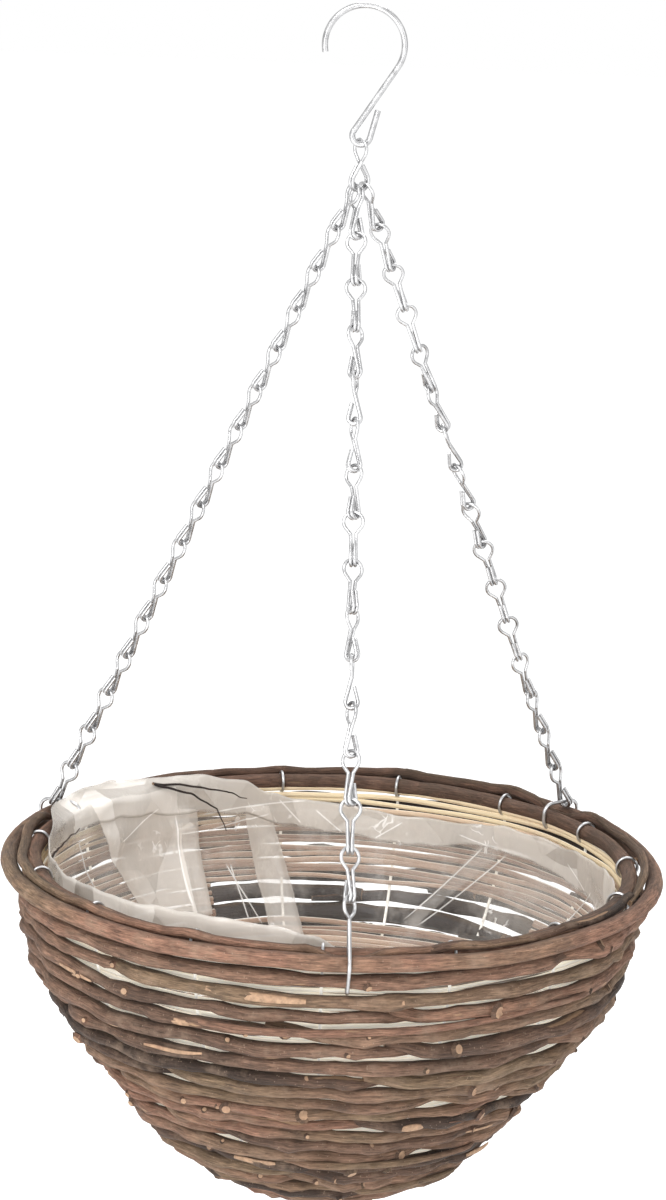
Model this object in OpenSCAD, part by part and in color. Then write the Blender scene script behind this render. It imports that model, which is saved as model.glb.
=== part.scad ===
// Hanging willow basket: rows of bent willow rods on wire ribs, hung by three chains from one hook.
// The origin is where the hook rests on its support, +Z is up, and all lengths are in millimetres.

/* [Hook] */
// Thickness of the hook wire
hook_wire_d = 3.2; // [2.8:0.1:3.6]
// Inside width of the crook
crook_w = 37.4; // [34:0.2:44]
// Height from the support down to the middle of the eye's lowest wire
hook_drop = 69.6; // [68:0.2:84]
// Radius of the eye, to the middle of its wire
eye_r = 4.6; // [4.4:0.1:5]
// Length of the wire's free end beside the stem
eye_end_len = 15; // [8:0.5:15]

/* [Chains] */
// Thickness of the link wire
link_wire_d = 1.8; // [1.6:0.05:1.85]
// Distance from one link to the next
link_pitch = 24.4; // [24:0.1:28]
// Radius of a link's round head, to the middle of its wire
link_head_r = 5; // [4.9:0.05:5.4]
// Length of a link's round head, from its top wire to its neck
link_head_len = 11.2; // [10.8:0.1:12]
// Distance between the two legs of a link at its neck, middle to middle
leg_spacing = 3; // [2.8:0.05:3.2]
// Distance between the two hooks of a link, middle to middle
hook_spacing = 2.1; // [2.05:0.05:2.2]
// Radius of a link's hooks, to the middle of the wire
link_hook_r = 3.2; // [3.1:0.05:3.4]
// Length of wire that stands up from each hook to its cut end
link_return_len = 7.4; // [4:0.2:7.6]
// Radius of the top link's hooks, to the middle of the wire
top_hook_r = 5.1; // [5:0.05:5.4]
// Turn of the top link away from the hook's plane
top_link_turn = -53; // [-60:1:-52]
// Number of links in each back chain, one more than in the front chain
side_links = 16; // [12:1:16]
// Direction of the front chain, from straight ahead
front_azimuth = 3.5; // [-6:0.5:8]
// Direction of the right chain, from straight ahead
right_azimuth = 130.5; // [110:0.5:140]
// Direction of the left chain, from straight ahead
left_azimuth = -115; // [-140:0.5:-110]

/* [Basket] */
// Width across the rim
rim_d = 350; // [320:5:400]
// Distance that the wall below stands in from the rim
wall_inset = 7; // [6:0.5:12]
// Thickness of a willow rod
rod_d = 8.8; // [8:0.1:9.2]
// Distance from one row of rods to the next, along the wall
row_pitch = 9.9; // [9.6:0.1:11]
// Distance between the first rows, which the chain clip goes round
clip_row_pitch = 11.6; // [11.4:0.1:12.5]
// Gap between the two rods of the rim
rim_gap = 4.2; // [4:0.1:5]
// Radius of the wall's upper curve
upper_curve_r = 145; // [130:1:160]
// Angle that the upper curve turns through
upper_curve_angle = 38; // [30:1:45]
// Length of the straight flank between the two curves
flank_len = 56; // [30:1:70]
// Number of rods laid end to end in each row
rods_per_row = 3; // [2:1:5]

/* [Wire and lining] */
// Number of wire ribs
rib_count = 15; // [9:1:18]
// Direction of the first rib, from straight ahead
rib_azimuth = -1; // [-2:0.5:0]
// Thickness of the rib wire
rib_wire_d = 1.6; // [1.2:0.1:1.8]
// Thickness of the clip wire
clip_wire_d = 2; // [1.6:0.1:2.1]
// Thickness of the thin inner splits
split_d = 2.9; // [2.4:0.1:3]
// Number of inner splits behind each row of rods
splits_per_row = 3; // [2:1:3]
// Thickness of the plastic liner
liner_t = 1; // [0.8:0.1:1.5]
// Height of the folded cuff along the liner's edge
cuff_h = 14; // [8:1:20]
// Height of the liner's edge above the middle of the rim rods
liner_rise = 4; // [0:0.5:5]

/* [Hidden] */
// Clearance between touching pieces
seat_gap = 0.3;
// Clearance between two links that hang in each other
link_gap = 0.15;
// Thickness of a bend as a share of the wire's, and how far a stretch of wire ends short of its bend
bend_share = 1.05;
bend_gap_share = 0.05;
// Gap between rods laid end to end
butt_gap = 0.6;
// Share of a rod's length by which each row's joints are stepped round from the row above
joint_step_share = 0.382;
rod_r = rod_d / 2;
wire_r = link_wire_d / 2;
hook_wire_r = hook_wire_d / 2;
clip_wire_r = clip_wire_d / 2;

// Hook: one arc for the crook, one for the eye, and the line that touches both
crook_r = crook_w / 2 + hook_wire_r;
crook_z = -crook_w / 2;
eye_z = -hook_drop + eye_r;
stem_lean = asin((crook_r + eye_r) / (crook_z - eye_z));
crook_tip_angle = 192;
eye_end_lean = 14;

// Chain link, with its top wire at the origin and the next link hanging at -link_pitch
function head_neck_angle(spacing) = -atan2(link_head_len - link_head_r, spacing / 2)
    + acos(link_head_r / norm([link_head_len - link_head_r, spacing / 2]));
link_seat_r = link_hook_r - link_wire_d - link_gap;
// Share of the hook's depth at which the next link lies, straight and at the largest turn
seat_shares = [0.75, 0.2];
largest_turn = 30;
function link_hook_z(pitch, turn) = -pitch + link_seat_r
    * (seat_shares[0] - (seat_shares[0] - seat_shares[1]) * (turn / largest_turn) ^ 2);

// Top link, in the eye of the hook
top_link_z = -hook_drop + hook_wire_r + wire_r + seat_gap;
top_seat_r = top_hook_r - link_wire_d - seat_gap;
swing_z = top_link_z - link_pitch + top_seat_r;
top_return_len = link_return_len - link_wire_d / 2;

// Wall profile: upper arc, straight flank, lower arc, all measured from the rim
wall_r = rim_d / 2 - wall_inset;
flank_top = [wall_r - upper_curve_r * (1 - cos(upper_curve_angle)), -upper_curve_r * sin(upper_curve_angle)];
flank_end = flank_top + flank_len * [-sin(upper_curve_angle), -cos(upper_curve_angle)];
lower_curve_r = flank_end[0] / cos(upper_curve_angle);
lower_curve_z = flank_end[1] + lower_curve_r * sin(upper_curve_angle);

// Rim and clips
rim_r = rim_d / 2 - rod_r;
hoop_r = rim_r - rod_d - rim_gap;
clip_r = rod_r + seat_gap + clip_wire_r;
clip_curl_angle = 125;
side_clip_rise = 2.8;
side_clip_end_r = rim_r - (rim_r - hoop_r) / 4;
side_chain_len = side_links * link_pitch;
rim_z = swing_z - top_seat_r - sqrt(side_chain_len ^ 2 - side_clip_end_r ^ 2) - clip_r - side_clip_rise;

// Depths into the wall, from the outside of the rods
rib_depth = rod_d + seat_gap + rib_wire_d / 2;
split_depth = rib_depth + rib_wire_d / 2 + seat_gap + split_d / 2;
liner_depth = split_depth + split_d / 2 + seat_gap;
liner_mouth_r = min(hoop_r - clip_r - clip_wire_r - seat_gap, wall_r - liner_depth);

// Places of the three first links on the top link's hooks
first_link_step = 2.75;
along_hooks = [cos(top_link_turn), sin(top_link_turn), 0];
across_hooks = [-sin(top_link_turn), cos(top_link_turn), 0];

// Turns of the links about their chain, as [share of the chain, degrees from the chain's upright plane]
front_turn_shares = [[0, 35], [0.533, 291], [1, 504]];
left_turn_shares = [[0, -31.5], [0.7, -25], [1, 0]];
right_turn_shares = [
    [0, -91.5], [0.0625, -62], [0.125, -42], [0.1875, -32], [0.375, 52],
    [0.5625, 136], [0.6875, 148], [0.8125, 198], [0.9375, 196], [1, 180]
];

curve_fn = 144;
wire_fn = 24;
split_sides = 6;
ring_fn = 48;

function two_digits(n) = str(n < 10 ? "0" : "", n);
LEFT_LINKS = [for (n = [1:side_links]) str("left_link_", two_digits(n))];
RIGHT_LINKS = [for (n = [1:side_links]) str("right_link_", two_digits(n))];
FRONT_LINKS = [for (n = [1:side_links - 1]) str("front_link_", two_digits(n))];

// Unit vector from the axis outwards in the direction of an azimuth
function outward(azimuth) = [sin(azimuth), -cos(azimuth), 0];

// Start of a chain: its first link rests on the top link's hooks with the highest point of its head
function chain_start(side, end) =
    let (
        seat = [0, 0, swing_z] + side * first_link_step * across_hooks
            - [0, 0, sqrt(top_seat_r ^ 2 - (side * first_link_step) ^ 2)],
        down = (end - seat) / norm(end - seat),
        head_down = down - (down * along_hooks) * along_hooks
    )
    seat + link_head_r * (head_down / norm(head_down) - down);

// Ends of the chains: on the flat tops of the side clips, and above the rim in front
function side_chain_end(azimuth) = side_clip_end_r * outward(azimuth)
    + [0, 0, rim_z + clip_r + side_clip_rise];
front_target = rim_r * outward(front_azimuth) + [0, 0, rim_z];
front_start = chain_start(0, front_target);
front_way = (front_target - front_start) / norm(front_target - front_start);
front_end = front_start + front_way * (side_links - 1) * link_pitch;

// Point on the wall at a length along it, at a depth inside its outer face
function wall_point(length, depth) =
    let (
        upper_r = upper_curve_r - depth,
        lower_r = lower_curve_r - depth,
        upper_len = upper_r * upper_curve_angle * PI / 180,
        on_upper = length / upper_r * 180 / PI,
        on_lower = upper_curve_angle + (length - upper_len - flank_len) / lower_r * 180 / PI
    )
    length < upper_len
        ? [wall_r - upper_curve_r + upper_r * cos(on_upper), -upper_r * sin(on_upper)]
    : length < upper_len + flank_len
        ? flank_top + (length - upper_len) * [-sin(upper_curve_angle), -cos(upper_curve_angle)]
            - depth * [cos(upper_curve_angle), -sin(upper_curve_angle)]
    : [lower_r * cos(on_lower), lower_curve_z - lower_r * sin(on_lower)];

// Length of the wall from the rim to the middle of the bottom, at a depth inside its outer face
function wall_length(depth) = (upper_curve_r - depth) * upper_curve_angle * PI / 180
    + flank_len + (lower_curve_r - depth) * (90 - upper_curve_angle) * PI / 180;

// Lengths along the wall to the rows of rods: the first two gaps are wider, for the clip
function row_length(row) = min(row, 2) * clip_row_pitch + max(row - 2, 0) * row_pitch;
row_count = floor((wall_length(rod_r) - rod_d - row_length(2)) / row_pitch) + 2;

// Splits, counted down the wall from under the clip to the flank's end and to the middle
split_pitch = row_pitch / splits_per_row;
first_split = clip_r + clip_wire_r + seat_gap + split_d;
flank_end_len = (upper_curve_r - split_depth) * upper_curve_angle * PI / 180 + flank_len;
last_flank_split = floor((flank_end_len - first_split) / split_pitch);
last_split = floor((wall_length(split_depth) - first_split - split_d) / split_pitch);

// A wire arc about the Z axis, from one angle to another, short at both ends by a share of the wire
module wire_arc(r, from, to, d, gap_share = bend_gap_share) {
    gap_angle = gap_share * d / r * 180 / PI;
    rotate([0, 0, from + gap_angle])
        rotate_extrude(angle = to - from - 2 * gap_angle, $fn = ring_fn)
            translate([r, 0])
                circle(d = d, $fn = wire_fn);
}

// The same arc standing up in the XZ plane
module upright_arc(r, from, to, d, gap_share = bend_gap_share) {
    rotate([90, 0, 0])
        wire_arc(r, from, to, d, gap_share);
}

// A straight stretch of wire between two points, short at both ends by a share of the wire
module wire_line(start, end, d, gap_share = bend_gap_share) {
    way = end - start;
    gap = gap_share * d;
    translate(start + way * gap / norm(way))
        rotate([0, acos(way[2] / norm(way)), atan2(way[1], way[0])])
            cylinder(h = norm(way) - 2 * gap, d = d, $fn = wire_fn);
}

// A bend that joins the stretches of wire on both sides of it
module wire_bend(place, d) {
    translate(place)
        sphere(d = d * bend_share, $fn = wire_fn);
}

module hook() {
    across = [cos(stem_lean), 0, -sin(stem_lean)];
    stem_top = [0, 0, crook_z] + crook_r * across;
    stem_end = [0, 0, eye_z] - eye_r * across;
    end_start = [0, 0, eye_z] + eye_r * [cos(eye_end_lean), 0, -sin(eye_end_lean)];
    end_way = [sin(eye_end_lean), 0, cos(eye_end_lean)];
    color("silver") {
        translate([0, 0, crook_z])
            upright_arc(crook_r, -stem_lean, crook_tip_angle, hook_wire_d);
        wire_line(stem_top, stem_end, hook_wire_d);
        for (place = [stem_top, stem_end, end_start])
            wire_bend(place, hook_wire_d);
        translate([0, 0, eye_z])
            upright_arc(eye_r, 180 - stem_lean, 360 - eye_end_lean, hook_wire_d);
        wire_line(end_start, end_start + eye_end_len * end_way, hook_wire_d);
    }
}

// Round head of a link or clip, down to a neck as wide as the spacing
module link_head(spacing) {
    angle = head_neck_angle(spacing);
    translate([0, 0, -link_head_r]) {
        upright_arc(link_head_r, angle, 180 - angle, link_wire_d);
        for (side = [-1, 1]) {
            head_end = link_head_r * [side * cos(angle), 0, sin(angle)];
            wire_bend(head_end, link_wire_d);
            wire_line(head_end, [side * spacing / 2, 0, link_head_r - link_head_len], link_wire_d);
        }
    }
}

// One leg of a link with its hook, seen along X: down on the -Y side, round, and up on the other
module link_leg(side, hook_r, hook_z, return_len) {
    spread = asin(hook_r / (-link_head_len - hook_z));
    neck = [side * leg_spacing / 2, 0, -link_head_len];
    x = side * hook_spacing / 2;
    leg_end = [x, -hook_r * cos(spread), hook_z + hook_r * sin(spread)];
    return_start = [x, hook_r * cos(spread), hook_z + hook_r * sin(spread)];
    wire_line(neck, leg_end, link_wire_d);
    for (place = [neck, leg_end, return_start])
        wire_bend(place, link_wire_d);
    translate([x, 0, hook_z])
        rotate([0, 90, 0])
            wire_arc(hook_r, -90 - spread, 90 + spread, link_wire_d);
    wire_line(return_start, return_start + return_len * [0, -sin(spread), cos(spread)], link_wire_d);
}

module link(pitch, next_turn) {
    link_head(leg_spacing);
    for (side = [-1, 1])
        link_leg(side, link_hook_r, link_hook_z(pitch, next_turn), link_return_len);
}

// The top link's two hooks open to opposite sides and carry all three chains
module top_link() {
    color("gainsboro")
        translate([0, 0, top_link_z])
            rotate([0, 0, top_link_turn]) {
                link_head(leg_spacing);
                for (turn = [0, 180])
                    rotate([0, 0, turn])
                        link_leg(1, top_hook_r, -link_pitch + top_seat_r, top_return_len);
            }
}

// Places a child at a share of the way along a chain, turned about the chain by an angle
module along_chain(start, end, share, turn) {
    way = end - start;
    lean = atan2(norm([way[0], way[1]]), -way[2]);
    translate(start + share * way)
        rotate([0, -lean, atan2(way[1], way[0])])
            rotate([0, 0, turn])
                children();
}

// Link number n of a chain of count links, which lies deeper in its hooks where the next piece is turned
module chain_link(n, count, start, end, turn_shares) {
    turn = lookup((n - 1) / count, turn_shares);
    next_turn = n < count ? lookup(n / count, turn_shares) - turn : largest_turn;
    color("gainsboro")
        along_chain(start, end, (n - 1) / count, turn)
            link(norm(end - start) / count, next_turn);
}

module left_link(n) {
    end = side_chain_end(left_azimuth);
    chain_link(n, side_links, chain_start(-1, end), end, left_turn_shares);
}

module right_link(n) {
    end = side_chain_end(right_azimuth);
    chain_link(n, side_links, chain_start(1, end), end, right_turn_shares);
}

module front_link(n) {
    chain_link(n, side_links - 1, front_start, front_end, front_turn_shares);
}

// Wire ring round both rods of the rim, with room under its flat top for the last link's hooks
module side_clip(azimuth) {
    top_z = clip_r + side_clip_rise;
    color("gainsboro")
        translate([0, 0, rim_z])
            rotate([0, 0, azimuth - 90]) {
                translate([rim_r, 0, 0])
                    upright_arc(clip_r, -90, 0, clip_wire_d, 0);
                translate([rim_r, 0, side_clip_rise])
                    upright_arc(clip_r, 0, 90, clip_wire_d, 0);
                translate([hoop_r, 0, side_clip_rise])
                    upright_arc(clip_r, 90, 180, clip_wire_d, 0);
                translate([hoop_r, 0, 0])
                    upright_arc(clip_r, 180, 270, clip_wire_d, 0);
                for (x = [hoop_r - clip_r, rim_r + clip_r])
                    wire_line([x, 0, 0], [x, 0, side_clip_rise], clip_wire_d, 0);
                for (z = [-clip_r, top_z])
                    wire_line([hoop_r, 0, z], [rim_r, 0, z], clip_wire_d, 0);
            }
}

module left_clip() {
    side_clip(left_azimuth);
}

module right_clip() {
    side_clip(right_azimuth);
}

// Long clip of the front chain: the inner leg passes between the rods of the rim and tucks in behind
// the row below, and the outer leg goes down over both rows and curls in under the lower one
module front_clip() {
    neck_place = front_end + link_head_len * front_way;
    neck = [
        neck_place * outward(front_azimuth),
        neck_place * outward(front_azimuth + 90),
        neck_place[2] - rim_z
    ];
    rim = [rim_r, 0, 0];
    row_place = wall_point(row_length(1), rod_r);
    row = [row_place[0], 0, row_place[1]];
    outer_angle = touch_angle(neck, rim, -1);
    inner_angle = touch_angle(neck, rim, 1);
    inner_bend = rim + clip_r * [cos(inner_angle), 0, sin(inner_angle)];
    tuck_angle = touch_angle(inner_bend, row, 1);
    flank_angle = atan2(row[2], row[0] - rim_r) + 90;
    flank_side = clip_r * [cos(flank_angle), 0, sin(flank_angle)];
    color("gainsboro") {
        along_chain(front_start, front_end, 1, lookup(1, front_turn_shares))
            link_head(0);
        translate([0, 0, rim_z])
            rotate([0, 0, front_azimuth - 90]) {
                outer_bend = rim + clip_r * [cos(outer_angle), 0, sin(outer_angle)];
                wire_line(neck, inner_bend, clip_wire_d);
                wire_line(inner_bend, row + clip_r * [cos(tuck_angle), 0, sin(tuck_angle)], clip_wire_d);
                wire_line(neck, outer_bend, clip_wire_d);
                wire_line(rim + flank_side, row + flank_side, clip_wire_d);
                translate(rim)
                    upright_arc(clip_r, flank_angle, outer_angle, clip_wire_d);
                translate(row)
                    upright_arc(clip_r, flank_angle - clip_curl_angle, flank_angle, clip_wire_d);
                for (place = [neck, inner_bend, outer_bend, rim + flank_side, row + flank_side])
                    wire_bend(place, clip_wire_d);
            }
    }
}

// Angle round a clipped rod at which a straight wire from a point touches the clip's arc, on one side
function touch_angle(point, rod, side) = atan2(point[2] - rod[2], point[0] - rod[0])
    + side * acos(clip_r / norm(point - rod));

// A closed ring of rod about the axis, round unless it has few sides
module rod_ring(r, z, d, sides = wire_fn) {
    translate([0, 0, rim_z + z])
        rotate_extrude($fn = curve_fn)
            translate([r, 0])
                circle(d = d, $fn = sides);
}

module rim_rod() {
    color("saddlebrown")
        rod_ring(rim_r, 0, rod_d);
}

module rim_hoop() {
    color("sienna")
        rod_ring(hoop_r, 0, rod_d);
}

// Rows of rods, laid end to end, with the joints stepped round from row to row
// A sawn plug closes the last row
module wall_rods() {
    joint_step = 360 / rods_per_row * joint_step_share;
    plug_r = wall_point(row_length(row_count), rod_r)[0] - rod_r - seat_gap;
    color("saddlebrown") {
        for (row = [1:row_count]) {
            place = wall_point(row_length(row), rod_r);
            butt = butt_gap / place[0] * 180 / PI;
            for (rod = [0:rods_per_row - 1])
                translate([0, 0, rim_z + place[1]])
                    rotate([0, 0, row * joint_step + rod * 360 / rods_per_row])
                        rotate_extrude(angle = 360 / rods_per_row - butt, $fn = curve_fn)
                            translate([place[0], 0])
                                circle(d = rod_d, $fn = wire_fn);
        }
        translate([0, 0, rim_z + lower_curve_z - lower_curve_r])
            cylinder(h = rod_d, r = plug_r, $fn = ring_fn);
    }
}

// Thin six-sided splits that line the wall behind the ribs, from one split to another
module split_rows(from, to) {
    color("burlywood")
        for (split = [from:to]) {
            place = wall_point(first_split + split * split_pitch, split_depth);
            rod_ring(place[0], place[1], split_d, split_sides);
        }
}

module flank_splits() {
    split_rows(0, last_flank_split);
}

module bottom_splits() {
    split_rows(last_flank_split + 1, last_split);
}

// Wire ribs behind the rods, each with its end bent round the inner rod of the rim
module rib_wires() {
    upper_r = upper_curve_r - rib_depth;
    lower_r = lower_curve_r - rib_depth;
    loop_r = rod_r + seat_gap + rib_wire_d / 2;
    loop_gap_angle = 20;
    top_angle = asin(loop_r / upper_r);
    end_angle = 90 - asin(rod_d * 1.5 / lower_r);
    inward = [cos(upper_curve_angle), 0, -sin(upper_curve_angle)] * rib_depth;
    flank_start = [flank_top[0], 0, flank_top[1]] - inward;
    flank_stop = [flank_end[0], 0, flank_end[1]] - inward;
    color("silver")
        for (rib = [0:rib_count - 1])
            translate([0, 0, rim_z])
                rotate([0, 0, rib_azimuth - 90 + rib * 360 / rib_count]) {
                    translate([hoop_r, 0, 0])
                        upright_arc(loop_r, -90, 270 - loop_gap_angle, rib_wire_d);
                    wire_bend([hoop_r, 0, -loop_r], rib_wire_d);
                    translate([wall_r - upper_curve_r, 0, 0])
                        upright_arc(upper_r, -upper_curve_angle, -top_angle, rib_wire_d);
                    wire_bend(flank_start, rib_wire_d);
                    wire_line(flank_start, flank_stop, rib_wire_d);
                    wire_bend(flank_stop, rib_wire_d);
                    translate([0, 0, lower_curve_z])
                        upright_arc(lower_r, -end_angle, -upper_curve_angle, rib_wire_d);
                }
}

// Points of the liner's face at a depth into the wall, from the edge to the middle of the bottom
function liner_face(depth) = [
    for (step = [0:liner_steps])
        let (place = wall_point(step / liner_steps * wall_length(depth), depth))
        [min(place[0], liner_mouth_r - depth + liner_depth), place[1]]
];
liner_steps = 48;

// Plastic liner: a thin bowl with a folded cuff along its edge
module liner() {
    outer = liner_face(liner_depth);
    inner = liner_face(liner_depth + liner_t);
    cuff_r = liner_mouth_r - liner_t * 2;
    cuff_z = liner_rise - cuff_h;
    color("lightgray")
        translate([0, 0, rim_z])
            rotate_extrude($fn = curve_fn)
                polygon(concat(
                    [[liner_mouth_r, liner_rise]],
                    outer,
                    [for (i = [liner_steps:-1:0]) if (inner[i][1] < cuff_z) inner[i]],
                    [[liner_mouth_r - liner_t, cuff_z], [cuff_r, cuff_z], [cuff_r, liner_rise]]
                ));
}

hook();
top_link();
for (n = [1:side_links])
    left_link(n);
for (n = [1:side_links])
    right_link(n);
for (n = [1:side_links - 1])
    front_link(n);
left_clip();
right_clip();
front_clip();
rim_rod();
rim_hoop();
wall_rods();
flank_splits();
bottom_splits();
rib_wires();
liner();
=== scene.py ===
"""Looks of a hanging willow basket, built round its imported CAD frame. All sizes are in metres."""

import math
import random

import bmesh
import bpy
from mathutils import Matrix, Vector, noise


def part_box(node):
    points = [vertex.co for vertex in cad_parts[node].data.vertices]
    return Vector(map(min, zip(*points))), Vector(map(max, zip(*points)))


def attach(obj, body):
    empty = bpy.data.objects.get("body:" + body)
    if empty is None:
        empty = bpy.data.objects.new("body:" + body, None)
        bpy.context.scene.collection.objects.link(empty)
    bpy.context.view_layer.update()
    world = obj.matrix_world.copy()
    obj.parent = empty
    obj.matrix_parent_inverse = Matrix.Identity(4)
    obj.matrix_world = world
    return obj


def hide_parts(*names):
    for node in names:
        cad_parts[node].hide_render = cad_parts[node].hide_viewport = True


bl_info = {
    "name": "Hanging willow basket",
    "version": (1, 0, 0),
    "blender": (4, 5, 0),
    "location": "3D View > Sidebar > Basket",
    "description": "Dresses the frame of a hanging willow basket: rods, splits, liner film and galvanised wire",
    "category": "Object",
}

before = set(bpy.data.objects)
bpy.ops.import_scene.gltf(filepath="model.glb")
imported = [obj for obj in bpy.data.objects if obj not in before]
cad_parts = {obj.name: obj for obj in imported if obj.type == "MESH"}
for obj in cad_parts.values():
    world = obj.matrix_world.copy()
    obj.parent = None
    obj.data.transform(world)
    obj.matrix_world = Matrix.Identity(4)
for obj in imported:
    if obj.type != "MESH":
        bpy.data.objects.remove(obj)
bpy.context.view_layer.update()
MM = 0.001
TURN = 2 * math.pi

# The rim, read from the CAD
RIM_LOW, RIM_HIGH = (Vector(corner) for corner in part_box("rim_rod"))
RIM_Z = (RIM_LOW.z + RIM_HIGH.z) / 2
ROD_D = RIM_HIGH.z - RIM_LOW.z
RIM_R = (RIM_HIGH.x - RIM_LOW.x - ROD_D) / 2
HOOP_LOW, HOOP_HIGH = (Vector(corner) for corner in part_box("rim_hoop"))
HOOP_R = (HOOP_HIGH.x - HOOP_LOW.x - ROD_D) / 2

# The bowl's section, from the outside of its rods: an upper curve, a straight flank and a lower curve
WALL_R = 168 * MM
UPPER_CURVE_R = 145 * MM
UPPER_CURVE_ANGLE = math.radians(38)
FLANK_LEN = 56 * MM
FLANK_END_R = (
    WALL_R
    - UPPER_CURVE_R * (1 - math.cos(UPPER_CURVE_ANGLE))
    - FLANK_LEN * math.sin(UPPER_CURVE_ANGLE)
)
FLANK_END_Z = -UPPER_CURVE_R * math.sin(UPPER_CURVE_ANGLE) - FLANK_LEN * math.cos(UPPER_CURVE_ANGLE)
LOWER_CURVE_R = FLANK_END_R / math.cos(UPPER_CURVE_ANGLE)
LOWER_CURVE_Z = FLANK_END_Z + LOWER_CURVE_R * math.sin(UPPER_CURVE_ANGLE)
CLIP_ROW_PITCH = 11.6 * MM
ROW_PITCH = 9.9 * MM
ROW_COUNT = 25
RIB_FACE_DEPTH = 9.1 * MM
SPLIT_DEPTH = 12.45 * MM
LINER_DEPTH = 14.2 * MM
LINER_MOUTH_R = 150.6 * MM
RIB_AZIMUTH = -1
RIB_STEP = 24
FRONT_CLIP_AZIMUTH = 3.5
LEFT_CLIP_AZIMUTH = -115
RIGHT_CLIP_AZIMUTH = 130.5
CLIP_AZIMUTHS = (FRONT_CLIP_AZIMUTH, LEFT_CLIP_AZIMUTH, RIGHT_CLIP_AZIMUTH)
# Length by which the rods of a row overlap, and the slants at which the rim's rods are cut
ROD_OVERLAP = 30 * MM
RIM_CUT_SLANTS = (0.6, 0.4)
# Heights between which splits are left out at the back, and the start and sweep of their azimuths
BARE_LOW, BARE_HIGH = -74 * MM, -53 * MM
BARE_START, BARE_SWEEP = -152, 280


def wall_point(length, depth):
    """Radius and height above the rim, at a length down the wall and a depth inside its outer face."""
    upper_r = UPPER_CURVE_R - depth
    lower_r = LOWER_CURVE_R - depth
    upper_len = upper_r * UPPER_CURVE_ANGLE
    if length < upper_len:
        angle = length / upper_r
        return WALL_R - UPPER_CURVE_R + upper_r * math.cos(angle), -upper_r * math.sin(angle)
    if length < upper_len + FLANK_LEN:
        run = length - upper_len
        sin, cos = math.sin(UPPER_CURVE_ANGLE), math.cos(UPPER_CURVE_ANGLE)
        top_r = WALL_R - UPPER_CURVE_R * (1 - cos)
        top_z = -UPPER_CURVE_R * sin
        return top_r - run * sin - depth * cos, top_z - run * cos + depth * sin
    angle = min(UPPER_CURVE_ANGLE + (length - upper_len - FLANK_LEN) / lower_r, math.pi / 2)
    return lower_r * math.cos(angle), LOWER_CURVE_Z - lower_r * math.sin(angle)


def wall_length(depth):
    upper = (UPPER_CURVE_R - depth) * UPPER_CURVE_ANGLE
    return upper + FLANK_LEN + (LOWER_CURVE_R - depth) * (math.pi / 2 - UPPER_CURVE_ANGLE)


def row_length(row):
    return min(row, 2) * CLIP_ROW_PITCH + max(row - 2, 0) * ROW_PITCH


def outward(azimuth):
    """Unit vector away from the axis; azimuth 0 is the front, 90 the right side."""
    angle = math.radians(azimuth)
    return Vector((math.sin(angle), -math.cos(angle), 0))


def wall_place(azimuth, length, depth):
    r, z = wall_point(length, depth)
    return outward(azimuth) * r + Vector((0, 0, RIM_Z + z))


def azimuth_gap(a, b):
    return abs((a - b + 180) % 360 - 180)


def smooth_step(share):
    share = min(max(share, 0), 1)
    return share * share * (3 - 2 * share)


def from_table(table, azimuth):
    """Value between the entries of a table of azimuths and values that runs from -180 to 180."""
    azimuth = (azimuth + 180) % 360 - 180
    for (a, low), (b, high) in zip(table, table[1:]):
        if a <= azimuth <= b:
            return low + (high - low) * smooth_step((azimuth - a) / (b - a))
    return table[0][1]


def rib_distance(azimuth):
    """Degrees to the nearest rib wire."""
    return abs((azimuth - RIB_AZIMUTH + RIB_STEP / 2) % RIB_STEP - RIB_STEP / 2)


# Meshes


def ring_frame(place, way, out, size_out, size_across):
    """Matrix from a unit ring to a ring round a rod, X away from the wall."""
    way = way.normalized()
    across = way.cross(out).normalized()
    out = across.cross(way)
    turned = Matrix((out, across, way)).transposed().to_4x4()
    return Matrix.Translation(place) @ turned @ Matrix.Diagonal((size_out, size_across, size_out, 1))


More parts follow.
